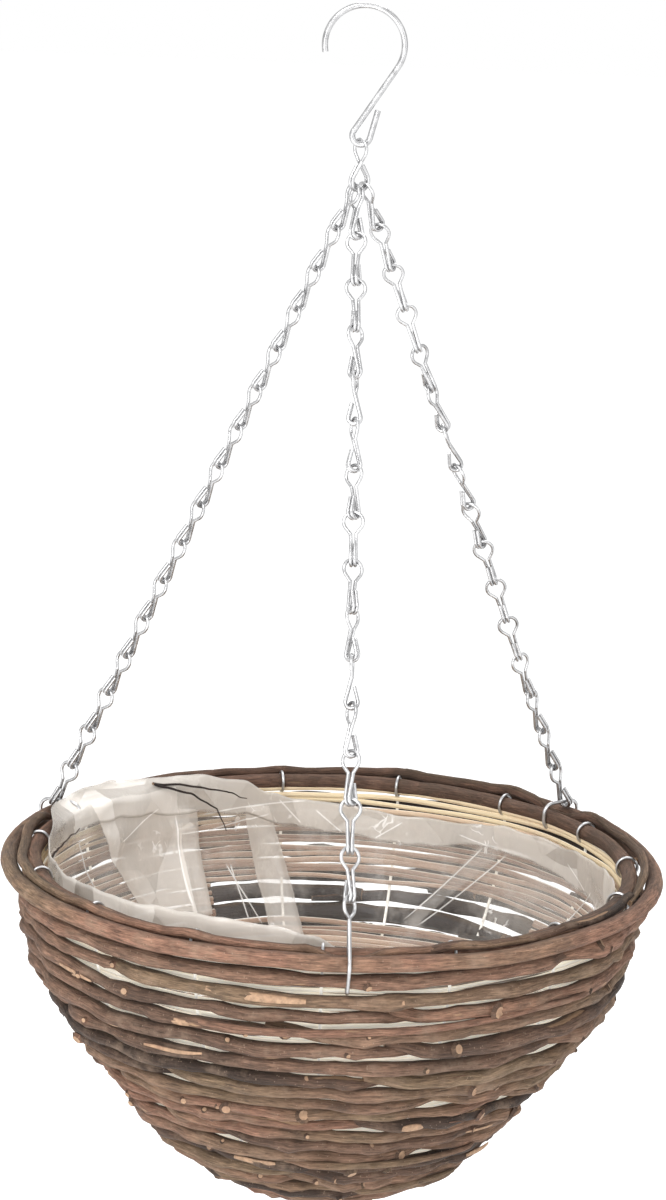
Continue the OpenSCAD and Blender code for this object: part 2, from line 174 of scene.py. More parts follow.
def swept_rod(places, outs, radii, sides, tone, cut_slants=(0, 0), flat=1.0):
    """A mesh of a rod, extruded ring by ring along its places, with sawn ends and its own UV map."""
    bm = bmesh.new()
    around = bm.verts.layers.float.new("around")
    along = bm.verts.layers.float.new("along")
    tones = bm.verts.layers.float.new("tone")
    last = len(places) - 1
    closed = (places[0] - places[last]).length < 1e-6
    frames = []
    for i, place in enumerate(places):
        if closed:
            way = places[(i + 1) % last] - places[(i - 1) % last]
        else:
            way = places[min(i + 1, last)] - places[max(i - 1, 0)]
        frames.append(ring_frame(place, way, outs[i], radii[i] * flat, radii[i]))
    made = bmesh.ops.create_circle(bm, cap_ends=not closed, segments=sides, radius=1)
    for v in made["verts"]:
        v[around] = (math.atan2(v.co.y, v.co.x) / TURN + 0.5) % 1
        v[tones] = tone
    caps = set(bm.faces)
    ring = list(bm.edges)
    first_ring = list(ring)
    bmesh.ops.transform(bm, matrix=frames[0], verts=bm.verts[:])
    run = 0
    for i in range(1, last + 1):
        run += (places[i] - places[i - 1]).length
        made = bmesh.ops.extrude_edge_only(bm, edges=ring)["geom"]
        verts = {g for g in made if isinstance(g, bmesh.types.BMVert)}
        ring = [g for g in made if isinstance(g, bmesh.types.BMEdge) and g.verts[0] in verts and g.verts[1] in verts]
        for v in verts:
            v[along] = run
        bmesh.ops.transform(bm, matrix=frames[i] @ frames[i - 1].inverted(), verts=list(verts))
    if closed:
        welded = {v for e in ring + first_ring for v in e.verts}
        bmesh.ops.remove_doubles(bm, verts=list(welded), dist=1e-6)
    else:
        caps |= set(bmesh.ops.edgeloop_fill(bm, edges=ring)["faces"])
        for e in ring + first_ring:
            e.smooth = False
        ends = ((first_ring, 0, cut_slants[0]), (ring, last, -cut_slants[1]))
        for edges, i, slant in ends:
            if slant:
                way = (places[1] - places[0] if i == 0 else places[last] - places[last - 1]).normalized()
                for v in {v for e in edges for v in e.verts}:
                    v.co += way * (v.co - places[i]).dot(outs[i]) * slant
    for f in bm.faces:
        f.material_index = 1 if f in caps else 0
        f.smooth = f not in caps
    bmesh.ops.recalc_face_normals(bm, faces=bm.faces[:])
    uv = bm.loops.layers.uv.new("rod")
    for f in bm.faces:
        turns = [loop.vert[around] for loop in f.loops]
        wraps = max(turns) - min(turns) > 0.5
        runs = [loop.vert[along] for loop in f.loops]
        closes = closed and max(runs) - min(runs) > run / 2
        for loop, share, length in zip(f.loops, turns, runs):
            loop[uv].uv = (
                share + (1 if wraps and share < 0.5 else 0),
                length + (run if closes and length < run / 2 else 0) + tone * 3,
            )
    return bm


def roughen(bm, coarse, fine, seed):
    """Moves a rod's surface in and out a little, as dried bark and bends do."""
    bm.normal_update()
    around = bm.verts.layers.float["around"]
    along = bm.verts.layers.float["along"]
    shift = Vector((seed * 1.7, seed * 0.9, seed * 2.3))
    for v in bm.verts:
        turn = v[around] * TURN
        ridge = noise.noise(Vector((math.cos(turn) * 1.6, math.sin(turn) * 1.6, v[along] * 16 + seed)))
        bumps = noise.noise(v.co * 55 + shift) * coarse + noise.noise(v.co * 260 + shift) * fine
        v.co += v.normal * (bumps + ridge * coarse)


def join_all(name, pieces, materials):
    """One object from many small meshes."""
    whole = bmesh.new()
    for bm in pieces:
        part = bpy.data.meshes.new("part")
        bm.to_mesh(part)
        bm.free()
        whole.from_mesh(part)
        bpy.data.meshes.remove(part)
    mesh = bpy.data.meshes.new(name)
    whole.to_mesh(mesh)
    whole.free()
    for material in materials:
        mesh.materials.append(material)
    made = bpy.data.objects.new(name, mesh)
    bpy.context.scene.collection.objects.link(made)
    return made


# Materials


class Recipe:
    """A material's nodes, added one by one."""

    def __init__(self, name):
        self.material = bpy.data.materials.new(name)
        self.material.use_nodes = True
        self.tree = self.material.node_tree
        self.shader = self.tree.nodes["Principled BSDF"]

    def node(self, kind, settings=(), **inputs):
        made = self.tree.nodes.new(kind)
        for key, value in dict(settings).items():
            setattr(made, key, value)
        for key, value in inputs.items():
            self.put(made.inputs[key.replace("_", " ")], value)
        return made

    def put(self, socket, value):
        if isinstance(value, bpy.types.NodeSocket):
            self.tree.links.new(value, socket)
        elif socket.type == "RGBA" and len(value) == 3:
            socket.default_value = (*value, 1)
        else:
            socket.default_value = value

    def set(self, **inputs):
        for key, value in inputs.items():
            self.put(self.shader.inputs[key.replace("_", " ")], value)

    def place(self, scale=(1, 1, 1), uv=None, move=(0, 0, 0)):
        if uv:
            source = self.node("ShaderNodeUVMap", {"uv_map": uv}).outputs["UV"]
        else:
            source = self.node("ShaderNodeTexCoord").outputs["Object"]
        return self.node("ShaderNodeMapping", Vector=source, Scale=scale, Location=move).outputs["Vector"]

    def clouds(self, vector, scale, detail=4.0, roughness=0.55, distortion=0.0):
        made = self.node(
            "ShaderNodeTexNoise", Vector=vector, Scale=scale, Detail=detail, Roughness=roughness, Distortion=distortion
        )
        return made.outputs["Fac"]

    def cells(self, vector, scale):
        return self.node("ShaderNodeTexVoronoi", Vector=vector, Scale=scale).outputs["Distance"]

    def ramp(self, value, stops, interpolation="LINEAR"):
        made = self.node("ShaderNodeValToRGB", Fac=value)
        band = made.color_ramp
        band.interpolation = interpolation
        while len(band.elements) < len(stops):
            band.elements.new(0.5)
        for element, (place, colour) in zip(band.elements, stops):
            element.position = place
            element.color = (*colour, 1) if hasattr(colour, "__len__") else (colour, colour, colour, 1)
        return made.outputs["Color"]

    def level(self, value, low, high, to_low=0.0, to_high=1.0):
        made = self.node("ShaderNodeMapRange")
        self.put(made.inputs["Value"], value)
        self.put(made.inputs["From Min"], low)
        self.put(made.inputs["From Max"], high)
        self.put(made.inputs["To Min"], to_low)
        self.put(made.inputs["To Max"], to_high)
        return made.outputs["Result"]

    def maths(self, how, a, b):
        made = self.node("ShaderNodeMath", {"operation": how})
        self.put(made.inputs[0], a)
        self.put(made.inputs[1], b)
        return made.outputs["Value"]

    def mix(self, share, a, b, how="MIX"):
        made = self.node("ShaderNodeMix", {"data_type": "RGBA", "blend_type": how})
        self.put(made.inputs[0], share)
        self.put(made.inputs[6], a)
        self.put(made.inputs[7], b)
        return made.outputs[2]

    def vector_maths(self, how, *values):
        made = self.node("ShaderNodeVectorMath", {"operation": how})
        for socket, value in zip(made.inputs, values):
            self.put(socket, value)
        return made.outputs

    def dot(self, vector, along):
        return self.vector_maths("DOT_PRODUCT", vector, along)["Value"]

    def crease_lines(self, place):
        """1 on the straight creases of the film, 0 elsewhere."""
        found = None
        centre = Vector((0, 0, RIM_Z - 30 * MM))
        for start, end in CREASES:
            a, b = film_wall_place(*start), film_wall_place(*end)
            across = (a - centre).cross(b - centre).normalized()
            way = (b - a) / (b - a).length_squared
            away = self.maths("ABSOLUTE", self.maths("SUBTRACT", self.dot(place, across), centre.dot(across)), 0)
            run = self.maths("SUBTRACT", self.dot(place, way), a.dot(way) + 0.5)
            within = self.level(self.maths("ABSOLUTE", run, 0), 0.5, 0.42)
            middle = (a + b) / 2 - centre
            near = self.level(self.maths("SUBTRACT", self.dot(place, middle), centre.dot(middle)), 0, 0.001)
            line = self.maths("MULTIPLY", self.maths("MULTIPLY", self.level(away, 0.0006, 0.0002), within), near)
            found = line if found is None else self.maths("MAXIMUM", found, line)
        return found

    def near_any(self, place, spots):
        """1 near the middle of any of the spots, fading to 0 at their radius."""
        found = None
        for middle, radius in spots:
            gap = self.vector_maths("DISTANCE", place, middle)["Value"]
            spot = self.level(gap, radius, radius * 0.5)
            found = spot if found is None else self.maths("MAXIMUM", found, spot)
        return found

    def bump(self, height, distance, strength=1.0, before=None):
        made = self.node("ShaderNodeBump", Height=height, Distance=distance, Strength=strength)
        if before is not None:
            self.put(made.inputs["Normal"], before)
        return made.outputs["Normal"]


def bark_material(name, colours, painted_inner_shade):
    """Dried bark; the side towards the bowl is darkened to a bluish dark, a painted shade, by the share in its last
    argument.
    """
    m = Recipe(name)
    tone = m.node("ShaderNodeAttribute", {"attribute_name": "tone"}).outputs["Fac"]
    body = m.place()
    grain = m.place(scale=(5, 26, 1), uv="rod")
    drift = m.clouds(body, 9, detail=2)
    shade = m.maths("ADD", tone, m.level(drift, 0.3, 0.7, -0.16, 0.16))
    dark, red, olive, grey = colours.bark_dark, colours.bark_red, colours.bark_olive, colours.bark_grey
    base = m.ramp(shade, [(0.0, dark), (0.28, grey), (0.5, red), (0.72, olive), (1.0, grey)])
    streaks = m.clouds(grain, 3.2, detail=6, roughness=0.7)
    base = m.mix(0.8, base, m.ramp(streaks, [(0.36, 0.34), (0.52, 0.95), (0.68, 1.5)]), "MULTIPLY")
    fibres = m.clouds(m.place(scale=(14, 34, 1), uv="rod"), 3.4, detail=4, roughness=0.6)
    base = m.mix(0.6, base, m.ramp(fibres, [(0.38, 0.42), (0.52, 0.98), (0.66, 1.45)]), "MULTIPLY")
    weather = m.clouds(body, 46, detail=5, roughness=0.65)
    base = m.mix(m.level(weather, 0.52, 0.74, 0, 0.55), base, colours.bark_pale)
    base = m.mix(m.level(weather, 0.44, 0.28, 0, 0.6), base, dark)
    pores = m.cells(m.place(scale=(7, 420, 1), uv="rod"), 1)
    base = m.mix(m.level(pores, 0.16, 0.08, 0, 0.5), base, colours.bark_pale)
    peel = m.clouds(m.place(scale=(1.6, 11, 1), uv="rod", move=(3, 7, 0)), 1.6, detail=5, roughness=0.5)
    peeled = m.level(peel, 0.655, 0.675)
    wood = m.ramp(streaks, [(0.3, tuple(c * 0.7 for c in colours.bare_wood)), (0.7, tuple(colours.bare_wood))])
    base = m.mix(peeled, base, wood)
    turn = m.node("ShaderNodeSeparateXYZ", Vector=m.place(uv="rod")).outputs["X"]
    side = m.maths("ABSOLUTE", m.maths("SUBTRACT", m.maths("FRACT", turn, 0), 0.5), 0)
    inner = m.level(side, 0.3, 0.38)
    # Painted shade: the side towards the bowl is darkened to a bluish dark, as if it lay in shadow.
    base = m.mix(m.maths("MULTIPLY", inner, painted_inner_shade), base, (0.058, 0.062, 0.074))
    # Painted shade: the flanks where a rod meets its neighbours, and its inner side, are darkened, more in some places
    # than others.
    painted_contact_shade = m.maths("MULTIPLY", m.level(side, 0.13, 0.27), m.level(weather, 0.3, 0.7, 0.35, 0.8))
    base = m.mix(painted_contact_shade, base, tuple(c * 0.6 for c in dark))
    cracks = m.clouds(m.place(scale=(3, 160, 1), uv="rod"), 1.4, detail=4, roughness=0.6)
    normal = m.bump(streaks, 0.0014, 0.9)
    normal = m.bump(fibres, 0.0006, 0.8, normal)
    normal = m.bump(weather, 0.0006, 0.8, normal)
    normal = m.bump(m.level(cracks, 0.3, 0.5), 0.0003, 0.6, normal)
    normal = m.bump(m.level(peeled, 0, 1, 1, 0), 0.0005, 0.8, normal)
    m.set(Base_Color=base, Roughness=m.level(weather, 0.3, 0.7, 0.62, 0.92), Normal=normal)
    m.set(Specular_IOR_Level=0.28)
    return m.material


def cut_wood_material(colours):
    m = Recipe("sawn_wood")
    body = m.place()
    rings = m.clouds(body, 420, detail=3)
    stain = m.clouds(body, 90, detail=3)
    base = m.ramp(rings, [(0.3, tuple(c * 0.55 for c in colours.bare_wood)), (0.65, tuple(colours.bare_wood))])
    base = m.mix(m.level(stain, 0.5, 0.75, 0, 0.6), base, colours.bark_red)
    m.set(Base_Color=base, Roughness=m.level(stain, 0.3, 0.7, 0.6, 0.85), Normal=m.bump(rings, 0.0004, 0.6))
    return m.material


def split_material(name, light, dark, pale):
    """Split withy: bark side and edges within, the pale peeled side towards the rods; the peeled side also glows, as
    painted light.
    """
    m = Recipe(name)
    tone = m.node("ShaderNodeAttribute", {"attribute_name": "tone"}).outputs["Fac"]
    grain = m.clouds(m.place(scale=(4, 22, 1), uv="rod"), 3, detail=6, roughness=0.65)
    stain = m.clouds(m.place(), 24, detail=4)
    base = m.ramp(m.maths("ADD", m.level(grain, 0.3, 0.7, -0.3, 0.3), tone), [(0.0, tuple(dark)), (1.0, tuple(light))])
    base = m.mix(m.level(stain, 0.55, 0.75, 0, 0.5), base, dark)
    turn = m.node("ShaderNodeSeparateXYZ", Vector=m.place(uv="rod")).outputs["X"]
    peeled_side_and_glow = m.level(m.maths("ABSOLUTE", m.maths("SUBTRACT", m.maths("FRACT", turn, 0), 0.5), 0), 0.34, 0.24)
    base = m.mix(peeled_side_and_glow, base, m.ramp(grain, [(0.3, tuple(c * 0.7 for c in pale)), (0.6, tuple(pale))]))
    m.set(Base_Color=base, Roughness=m.level(grain, 0.3, 0.7, 0.6, 0.85), Normal=m.bump(grain, 0.0006, 0.7))
    # Painted light: the peeled side glows in its own colour, standing in for light coming through the thin split.
    m.set(Specular_IOR_Level=0.3, Emission_Color=base, Emission_Strength=m.level(peeled_side_and_glow, 0, 1, 0, 0.42))
    return m.material


def wire_material(name, colour, spot, painted_light_below=None):
    """Zinc-coated wire; below a height it is painted pale, less metallic and glowing, as painted light for the wire
    seen lit in the gaps.
    """
    m = Recipe(name)
    body = m.place()
    spangle = m.clouds(body, 210, detail=5, roughness=0.6)
    marks = m.clouds(body, 45, detail=3)
    base = m.mix(m.level(spangle, 0.35, 0.65, 0, 0.55), tuple(colour), tuple(spot))
    base = m.mix(m.level(marks, 0.56, 0.72, 0, 0.5), base, tuple(c * 0.6 for c in colour))
    m.set(Base_Color=base, Metallic=1.0)
    if painted_light_below is not None:
        height = m.node("ShaderNodeSeparateXYZ", Vector=body).outputs["Z"]
        # Painted light: below the height the wire turns pale, loses its metal and glows.
        painted_light_share = m.level(height, painted_light_below, painted_light_below - 4 * MM)
        base = m.mix(painted_light_share, base, m.ramp(spangle, [(0.35, (0.62, 0.59, 0.54)), (0.65, (0.9, 0.87, 0.8))]))
        m.set(Base_Color=base, Metallic=m.level(painted_light_share, 0, 1, 1, 0.1))
        m.set(Emission_Color=base, Emission_Strength=m.level(painted_light_share, 0, 1, 0, 0.5))
    m.set(Roughness=m.level(spangle, 0.3, 0.7, 0.26, 0.46), Normal=m.bump(spangle, 0.00012, 0.5))
    return m.material


def film_wall_place(azimuth, height):
    """Place of the film at an azimuth and a height above the rim in millimetres, without its folds."""
    full = wall_length(LINER_DEPTH)
    run = next(i * MM for i in range(int(full / MM)) if wall_point(i * MM, LINER_DEPTH)[1] <= height * MM)
    r = min(wall_point(run, LINER_DEPTH)[0], LINER_MOUTH_R)
    return outward(azimuth) * r + Vector((0, 0, RIM_Z + height * MM))


# Straight creases of the film, from one azimuth and height to another
CREASES = (
    ((139.7, -25), (158.3, -72)), ((146, -25), (162, -70)), ((-156, -43), (-163.3, -75)), ((-157, -43), (-160, -73)),
    ((110, -26), (117, -49)), ((-150, -14), (-174, -9)), ((-152, -24), (-166, -16)), ((-168, -8), (-173, -22)),
    ((-112, -10), (-118, -40)), ((-139, -6), (-128, -20)), ((165, -18), (171, -29)), ((152, -20), (142, -24)),
    ((-143.6, -12), (-145.2, -64)), ((-100, -12), (-104, -38)), ((-176, -14), (178, -27)), ((121, -18), (113, -28)),
)
# Places where the film is crushed: azimuth, height and radius in millimetres
CRUSHED = (
    (-137, -28, 13), (-171, -12, 15), (-162, -20, 12), (146, -20, 11), (168, -24, 12), (138, -60, 10), (104, -40, 16),
)


def film_material(colours):
    m = Recipe("milky_film")
    milk, wide, narrow, faint = (
        m.node("ShaderNodeAttribute", {"attribute_name": name}).outputs["Fac"]
        for name in ("milk", "wide_fold", "narrow_fold", "faint_fold")
    )
    body = m.place()
    clouds = m.clouds(body, 16, detail=5, roughness=0.6)
    haze = m.clouds(m.place(scale=(1, 1, 0.5)), 70, detail=5, roughness=0.7)
    milk = m.maths("ADD", milk, m.level(clouds, 0.35, 0.7, -0.05, 0.07))
    milk = m.maths("ADD", milk, m.level(haze, 0.5, 0.75, 0, 0.12))
    ragged = m.level(clouds, 0.3, 0.7, -1.6, 1.6)
    for fold, amount in ((wide, 0.42), (narrow, 0.34), (faint, 0.1)):
        milk = m.maths("ADD", milk, m.level(m.maths("ADD", fold, ragged), -0.35, 0.35, 0, amount))
    facets = m.node("ShaderNodeTexVoronoi", Vector=m.place(scale=(1, 1, 0.7)), Scale=34.0)
    tilt = m.vector_maths("SUBTRACT", facets.outputs["Color"], (0.5, 0.5, 0.5))["Vector"]
    local = m.vector_maths("SUBTRACT", m.place(scale=(1, 1, 0.7)), facets.outputs["Position"])["Vector"]
    plane = m.dot(local, tilt)
    # Painted highlights: light lines along the straight creases, and fine crinkled lines in the crushed places.
    glint_lines = m.crease_lines(body)
    warp = m.node("ShaderNodeTexNoise", Vector=body, Scale=75.0, Detail=2.0).outputs["Color"]
    warped = m.vector_maths("MULTIPLY_ADD", warp, (0.018, 0.018, 0.024), body)["Vector"]
    fine = m.node("ShaderNodeTexVoronoi", {"feature": "DISTANCE_TO_EDGE"}, Vector=warped, Scale=95.0)
    crushed = m.near_any(body, [(film_wall_place(a, h), size * MM) for a, h, size in CRUSHED])
    shown = m.level(m.clouds(body, 120, detail=1), 0.48, 0.56)
    cracks = m.maths("MULTIPLY", m.level(fine.outputs["Distance"], 0.07, 0.01), m.level(crushed, 0, 0.6))
    cracks = m.maths("MULTIPLY", cracks, shown)
    glint_lines = m.maths("MAXIMUM", glint_lines, cracks)
    milk = m.maths("ADD", milk, m.maths("MULTIPLY", glint_lines, 0.34))
    milk = m.maths("ADD", milk, m.maths("MULTIPLY", crushed, 0.07))
    base = m.mix(m.level(clouds, 0.3, 0.7), tuple(colours.film), tuple(colours.film_shade))
    # Painted highlight: the film is whitened along those lines.
    base = m.mix(m.maths("MULTIPLY", glint_lines, 0.85), base, (0.98, 0.96, 0.93))
    m.set(Base_Color=base, Alpha=m.level(milk, 0.03, 0.95, 0.03, 0.95))
    normal = m.bump(plane, 1.0, 0.75)
    normal = m.bump(haze, 0.0012, 0.4, normal)
    m.set(Roughness=m.level(haze, 0.3, 0.7, 0.11, 0.3), Normal=normal)
    m.set(Specular_IOR_Level=0.6)
    return m.material


# Settings that a user may change


class BasketSizes(bpy.types.PropertyGroup):
    butt_r: bpy.props.FloatProperty(
        name="Butt radius", description="Radius of a wall rod at its thick end", default=4.5 * MM, unit="LENGTH"
    )
    tip_r: bpy.props.FloatProperty(
        name="Tip radius", description="Radius of a wall rod near its thin end", default=3.4 * MM, unit="LENGTH"
    )
    split_r: bpy.props.FloatProperty(
        name="Split radius", description="Radius of a split withy inside the wall", default=1.5 * MM, unit="LENGTH"
    )
    film_t: bpy.props.FloatProperty(
        name="Film thickness", description="Thickness of the liner film", default=0.3 * MM, unit="LENGTH"
    )
    fold_h: bpy.props.FloatProperty(
        name="Fold height",
        description="How far the liner's folds stand in from the wall",
        default=9 * MM,
        unit="LENGTH",
    )


def colour_property(name, description, default):
    return bpy.props.FloatVectorProperty(
        name=name, description=description, default=default, subtype="COLOR", size=3, min=0, max=1
    )


class BasketColours(bpy.types.PropertyGroup):
    bark_dark: colour_property("Dark bark", "Darkest bark", (0.054, 0.035, 0.026))
    bark_red: colour_property("Red bark", "Reddish bark", (0.275, 0.146, 0.098))
    bark_olive: colour_property("Olive bark", "Olive bark", (0.215, 0.146, 0.09))
    bark_grey: colour_property("Grey bark", "Grey-brown bark", (0.23, 0.134, 0.09))
    bark_pale: colour_property("Weathered bark", "Pale weathered patches on the bark", (0.37, 0.262, 0.19))
    bare_wood: colour_property("Bare wood", "Peeled places and sawn ends", (0.43, 0.27, 0.165))
    split_light: colour_property("Light split", "Light side of the splits", (0.6, 0.43, 0.32))
    split_dark: colour_property("Dark split", "Dark side of the splits", (0.26, 0.155, 0.11))
    split_pale: colour_property("Pale split", "Peeled side of the splits, towards the rods", (0.9, 0.84, 0.72))
    cream_light: colour_property("Cream split", "Splits next to the rim", (0.8, 0.67, 0.44))
    film: colour_property("Film", "Milky liner film", (0.86, 0.81, 0.75))
    film_shade: colour_property("Film shade", "Greyer places of the film", (0.75, 0.695, 0.63))
    wire: colour_property("Wire", "Galvanised wire", (0.42, 0.42, 0.425))
    wire_spot: colour_property("Wire spangle", "Bright spangle of the wire", (0.68, 0.68, 0.685))


def settings():
    scene = bpy.context.scene
    return scene.basket_sizes, scene.basket_colours


def shared_material(name, make):
    return bpy.data.materials.get(name) or make()


def bark_and_cut(name="rod_bark", painted_inner_shade=0.0):
    colours = settings()[1]
    return [
        shared_material(name, lambda: bark_material(name, colours, painted_inner_shade)),
        shared_material("sawn_wood", lambda: cut_wood_material(colours)),
    ]


# Pieces


def rim_strand(r, z, start, end, butt_r, tip_r, weave, seed, tone, lift=0.0):
    """A rod along the rim between two azimuths; weave is how far it winds about the rim's line."""
    rng = random.Random(seed)
    phase = rng.uniform(0, TURN)
    steps = int(abs(end - start) / 2.2)
    places, outs, radii = [], [], []
    for i in range(steps + 1):
        share = i / steps
        azimuth = start + (end - start) * share
        near_clip = min(azimuth_gap(azimuth, clip) for clip in CLIP_AZIMUTHS)
        calm = smooth_step((near_clip - 2) / 8)
        swing = math.sin(math.radians(azimuth) * 5 + phase) * weave * calm
        wave = noise.noise(Vector((azimuth * 0.05, seed, 1))) * 1.3 * MM * calm
        out = outward(azimuth)
        radius = butt_r + (tip_r - butt_r) * share
        radius *= 1 + 0.06 * noise.noise(Vector((azimuth * 0.09, seed, 5)))
        run = abs(end - start) * min(share, 1 - share)
        ends = smooth_step(1 - run / 14)
        radius *= 1 - 0.55 * ends
        drop = 2.2 * MM * ends
        places.append(out * (r + swing * 0.6 + lift * ends) + Vector((0, 0, RIM_Z + z + wave + swing * 0.5 - drop)))
        outs.append(out)
        radii.append(min(radius, ROD_D / 2 + 0.1 * MM) if near_clip < 6 else radius)
    bm = swept_rod(places, outs, radii, 12, tone, RIM_CUT_SLANTS)
    roughen(bm, 0.35 * MM, 0.12 * MM, seed)
    return bm


def groove_strand(start, end, butt_r, tip_r, seed, tone, rise=0.0):
    """A thin rod that winds along the groove between the two rods of the rim."""
    groove_r = (RIM_R + HOOP_R) / 2 + 0.6 * MM
    steps = int(abs(end - start) / 2)
    places, outs, radii = [], [], []
    for i in range(steps + 1):
        share = i / steps
        azimuth = start + (end - start) * share
        radius = butt_r + (tip_r - butt_r) * share
        clear = smooth_step((min(azimuth_gap(azimuth, clip) for clip in CLIP_AZIMUTHS) - 1) / 7)
        over_rib = smooth_step(1 - rib_distance(azimuth) / 6) * 1.6 * MM
        wave = noise.noise(Vector((azimuth * 0.05, seed, 0)))
        ends = max(smooth_step(1 - share * 9), smooth_step(1 - (1 - share) * 9))
        z = 3.2 * MM + radius * 0.55 + rise + (wave * 1.2 * MM + over_rib) * clear - 5.5 * MM * ends
        z -= (1 - clear) * 4.6 * MM
        radius *= 1 - 0.45 * (1 - clear)
        out = outward(azimuth)
        places.append(out * (groove_r + wave * 2.6 * MM * clear) + Vector((0, 0, RIM_Z + z)))
        outs.append(out)
        radii.append(radius * (1 - 0.3 * ends))
    bm = swept_rod(places, outs, radii, 9, tone)
    roughen(bm, 0.25 * MM, 0.12 * MM, seed)
    return bm


class BASKET_OT_rim_rods(bpy.types.Operator):
    """Builds the outer rods and the inner hoop of the rim"""

    bl_idname = "basket.rim_rods"
    bl_label = "Rim rods"

    def execute(self, context):
        materials = bark_and_cut()
        outer = [
            rim_strand(RIM_R, 0, 66, 262, 4.6 * MM, 4.0 * MM, 0.5 * MM, 3, 0.3, -1.5 * MM),
            rim_strand(RIM_R, 0, 236, 452, 4.6 * MM, 4.1 * MM, 0.5 * MM, 4, 0.55, -1.5 * MM),
        ]
        outer += [
            groove_strand(-128, 60, 2.9 * MM, 2.2 * MM, 7, 0.6),
            groove_strand(12, 78, 2.6 * MM, 2.0 * MM, 8, 0.1),
            groove_strand(100, 214, 3.0 * MM, 2.2 * MM, 9, 0.4),
            groove_strand(70, 176, 2.4 * MM, 1.8 * MM, 10, 0.85, 1.6 * MM),
        ]
        rim = join_all("rim_outer_rods", outer, materials)
        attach(rim, "basket")
        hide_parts("rim_rod")
        inner = [
            rim_strand(HOOP_R, 0, 150, 412, 4.4 * MM, 4.1 * MM, 0.3 * MM, 5, 0.42),
            rim_strand(HOOP_R, 0, 28, 176, 4.4 * MM, 4.1 * MM, 0.3 * MM, 6, 0.3),
        ]
        hoop = join_all("rim_inner_hoop", inner, materials)
        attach(hoop, "basket")
        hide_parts("rim_hoop")
        return {"FINISHED"}


AZIMUTH_STEP = 3
SAMPLES = 360 // AZIMUTH_STEP


def row_rods(row, rng):
    """The rods of one row, as start azimuth, sweep, butt radius, tip radius, seed and tone."""
    sizes = settings()[0]
    slim = 1 - 0.12 * smooth_step((row - 4) / 6)
    r = wall_point(row_length(row), ROD_D / 2)[0]
    count = 3 if r > 60 * MM else 2 if r > 30 * MM else 1
    start = rng.uniform(0, 360)
    rods = []
    for i in range(count):
        step = 360 / count
        size = rng.uniform(0.88, 1.09) * slim
        rods.append(
            {
                "start": start + i * step + rng.uniform(-14, 14),
                "butt": sizes.butt_r * size,
                "tip": sizes.tip_r * size,
                "seed": row * 10 + i + 40,
                "tone": rng.random(),
                "knots": [rng.uniform(0.06, 0.92) for _ in range(5)],
            }
        )
    for rod, following in zip(rods, rods[1:] + rods[:1]):
        gap = (following["start"] - rod["start"]) % 360 if count > 1 else 360
        rod["sweep"] = gap + math.degrees(ROD_OVERLAP / r)
    return rods


def pressed(azimuth):
    """A rod's thickness, as a share of its own: it is nipped at the ribs and full between them."""
    return 0.87 + 0.2 * smooth_step((rib_distance(azimuth) - 1.5) / 8)


def closeness(row, azimuth):
    """1 where the rows show dark through the clear back of the film and lie close, 0 elsewhere."""
    return smooth_step(azimuth_gap(azimuth, 0) / 30 - 3) if 4 < row < 9 else 0


def rod_radius(rod, azimuth):
    """Radius of a rod at an azimuth, or nothing where it doesn't reach."""
    way = (azimuth - rod["start"]) % 360
    if way > rod["sweep"]:
        return 0
    share = way / rod["sweep"]
    return (rod["butt"] + (rod["tip"] - rod["butt"]) * share) * pressed(azimuth)


def stacked_offsets(rows):
    """How far each row is pushed down or let up at each azimuth by the rods and the gaps above it."""
    top = ROD_D / 2
    room = row_length(len(rows)) + ROW_PITCH / 2 - top
    offsets = [[0.0] * SAMPLES for _ in rows]
    thick = []
    for rods in rows:
        widths = [2 * max(rod_radius(rod, i * AZIMUTH_STEP) for rod in rods) for i in range(SAMPLES)]
        thick.append([sum(widths[(i + k) % SAMPLES] for k in range(-2, 3)) / 5 for i in range(SAMPLES)])
    for i in range(SAMPLES):
        gap = (room - sum(row[i] for row in thick)) / len(rows)
        run = top
        for row in range(len(rows)):
            run += gap + thick[row][i]
            offsets[row][i] = run - thick[row][i] / 2 - row_length(row + 1)
    return offsets


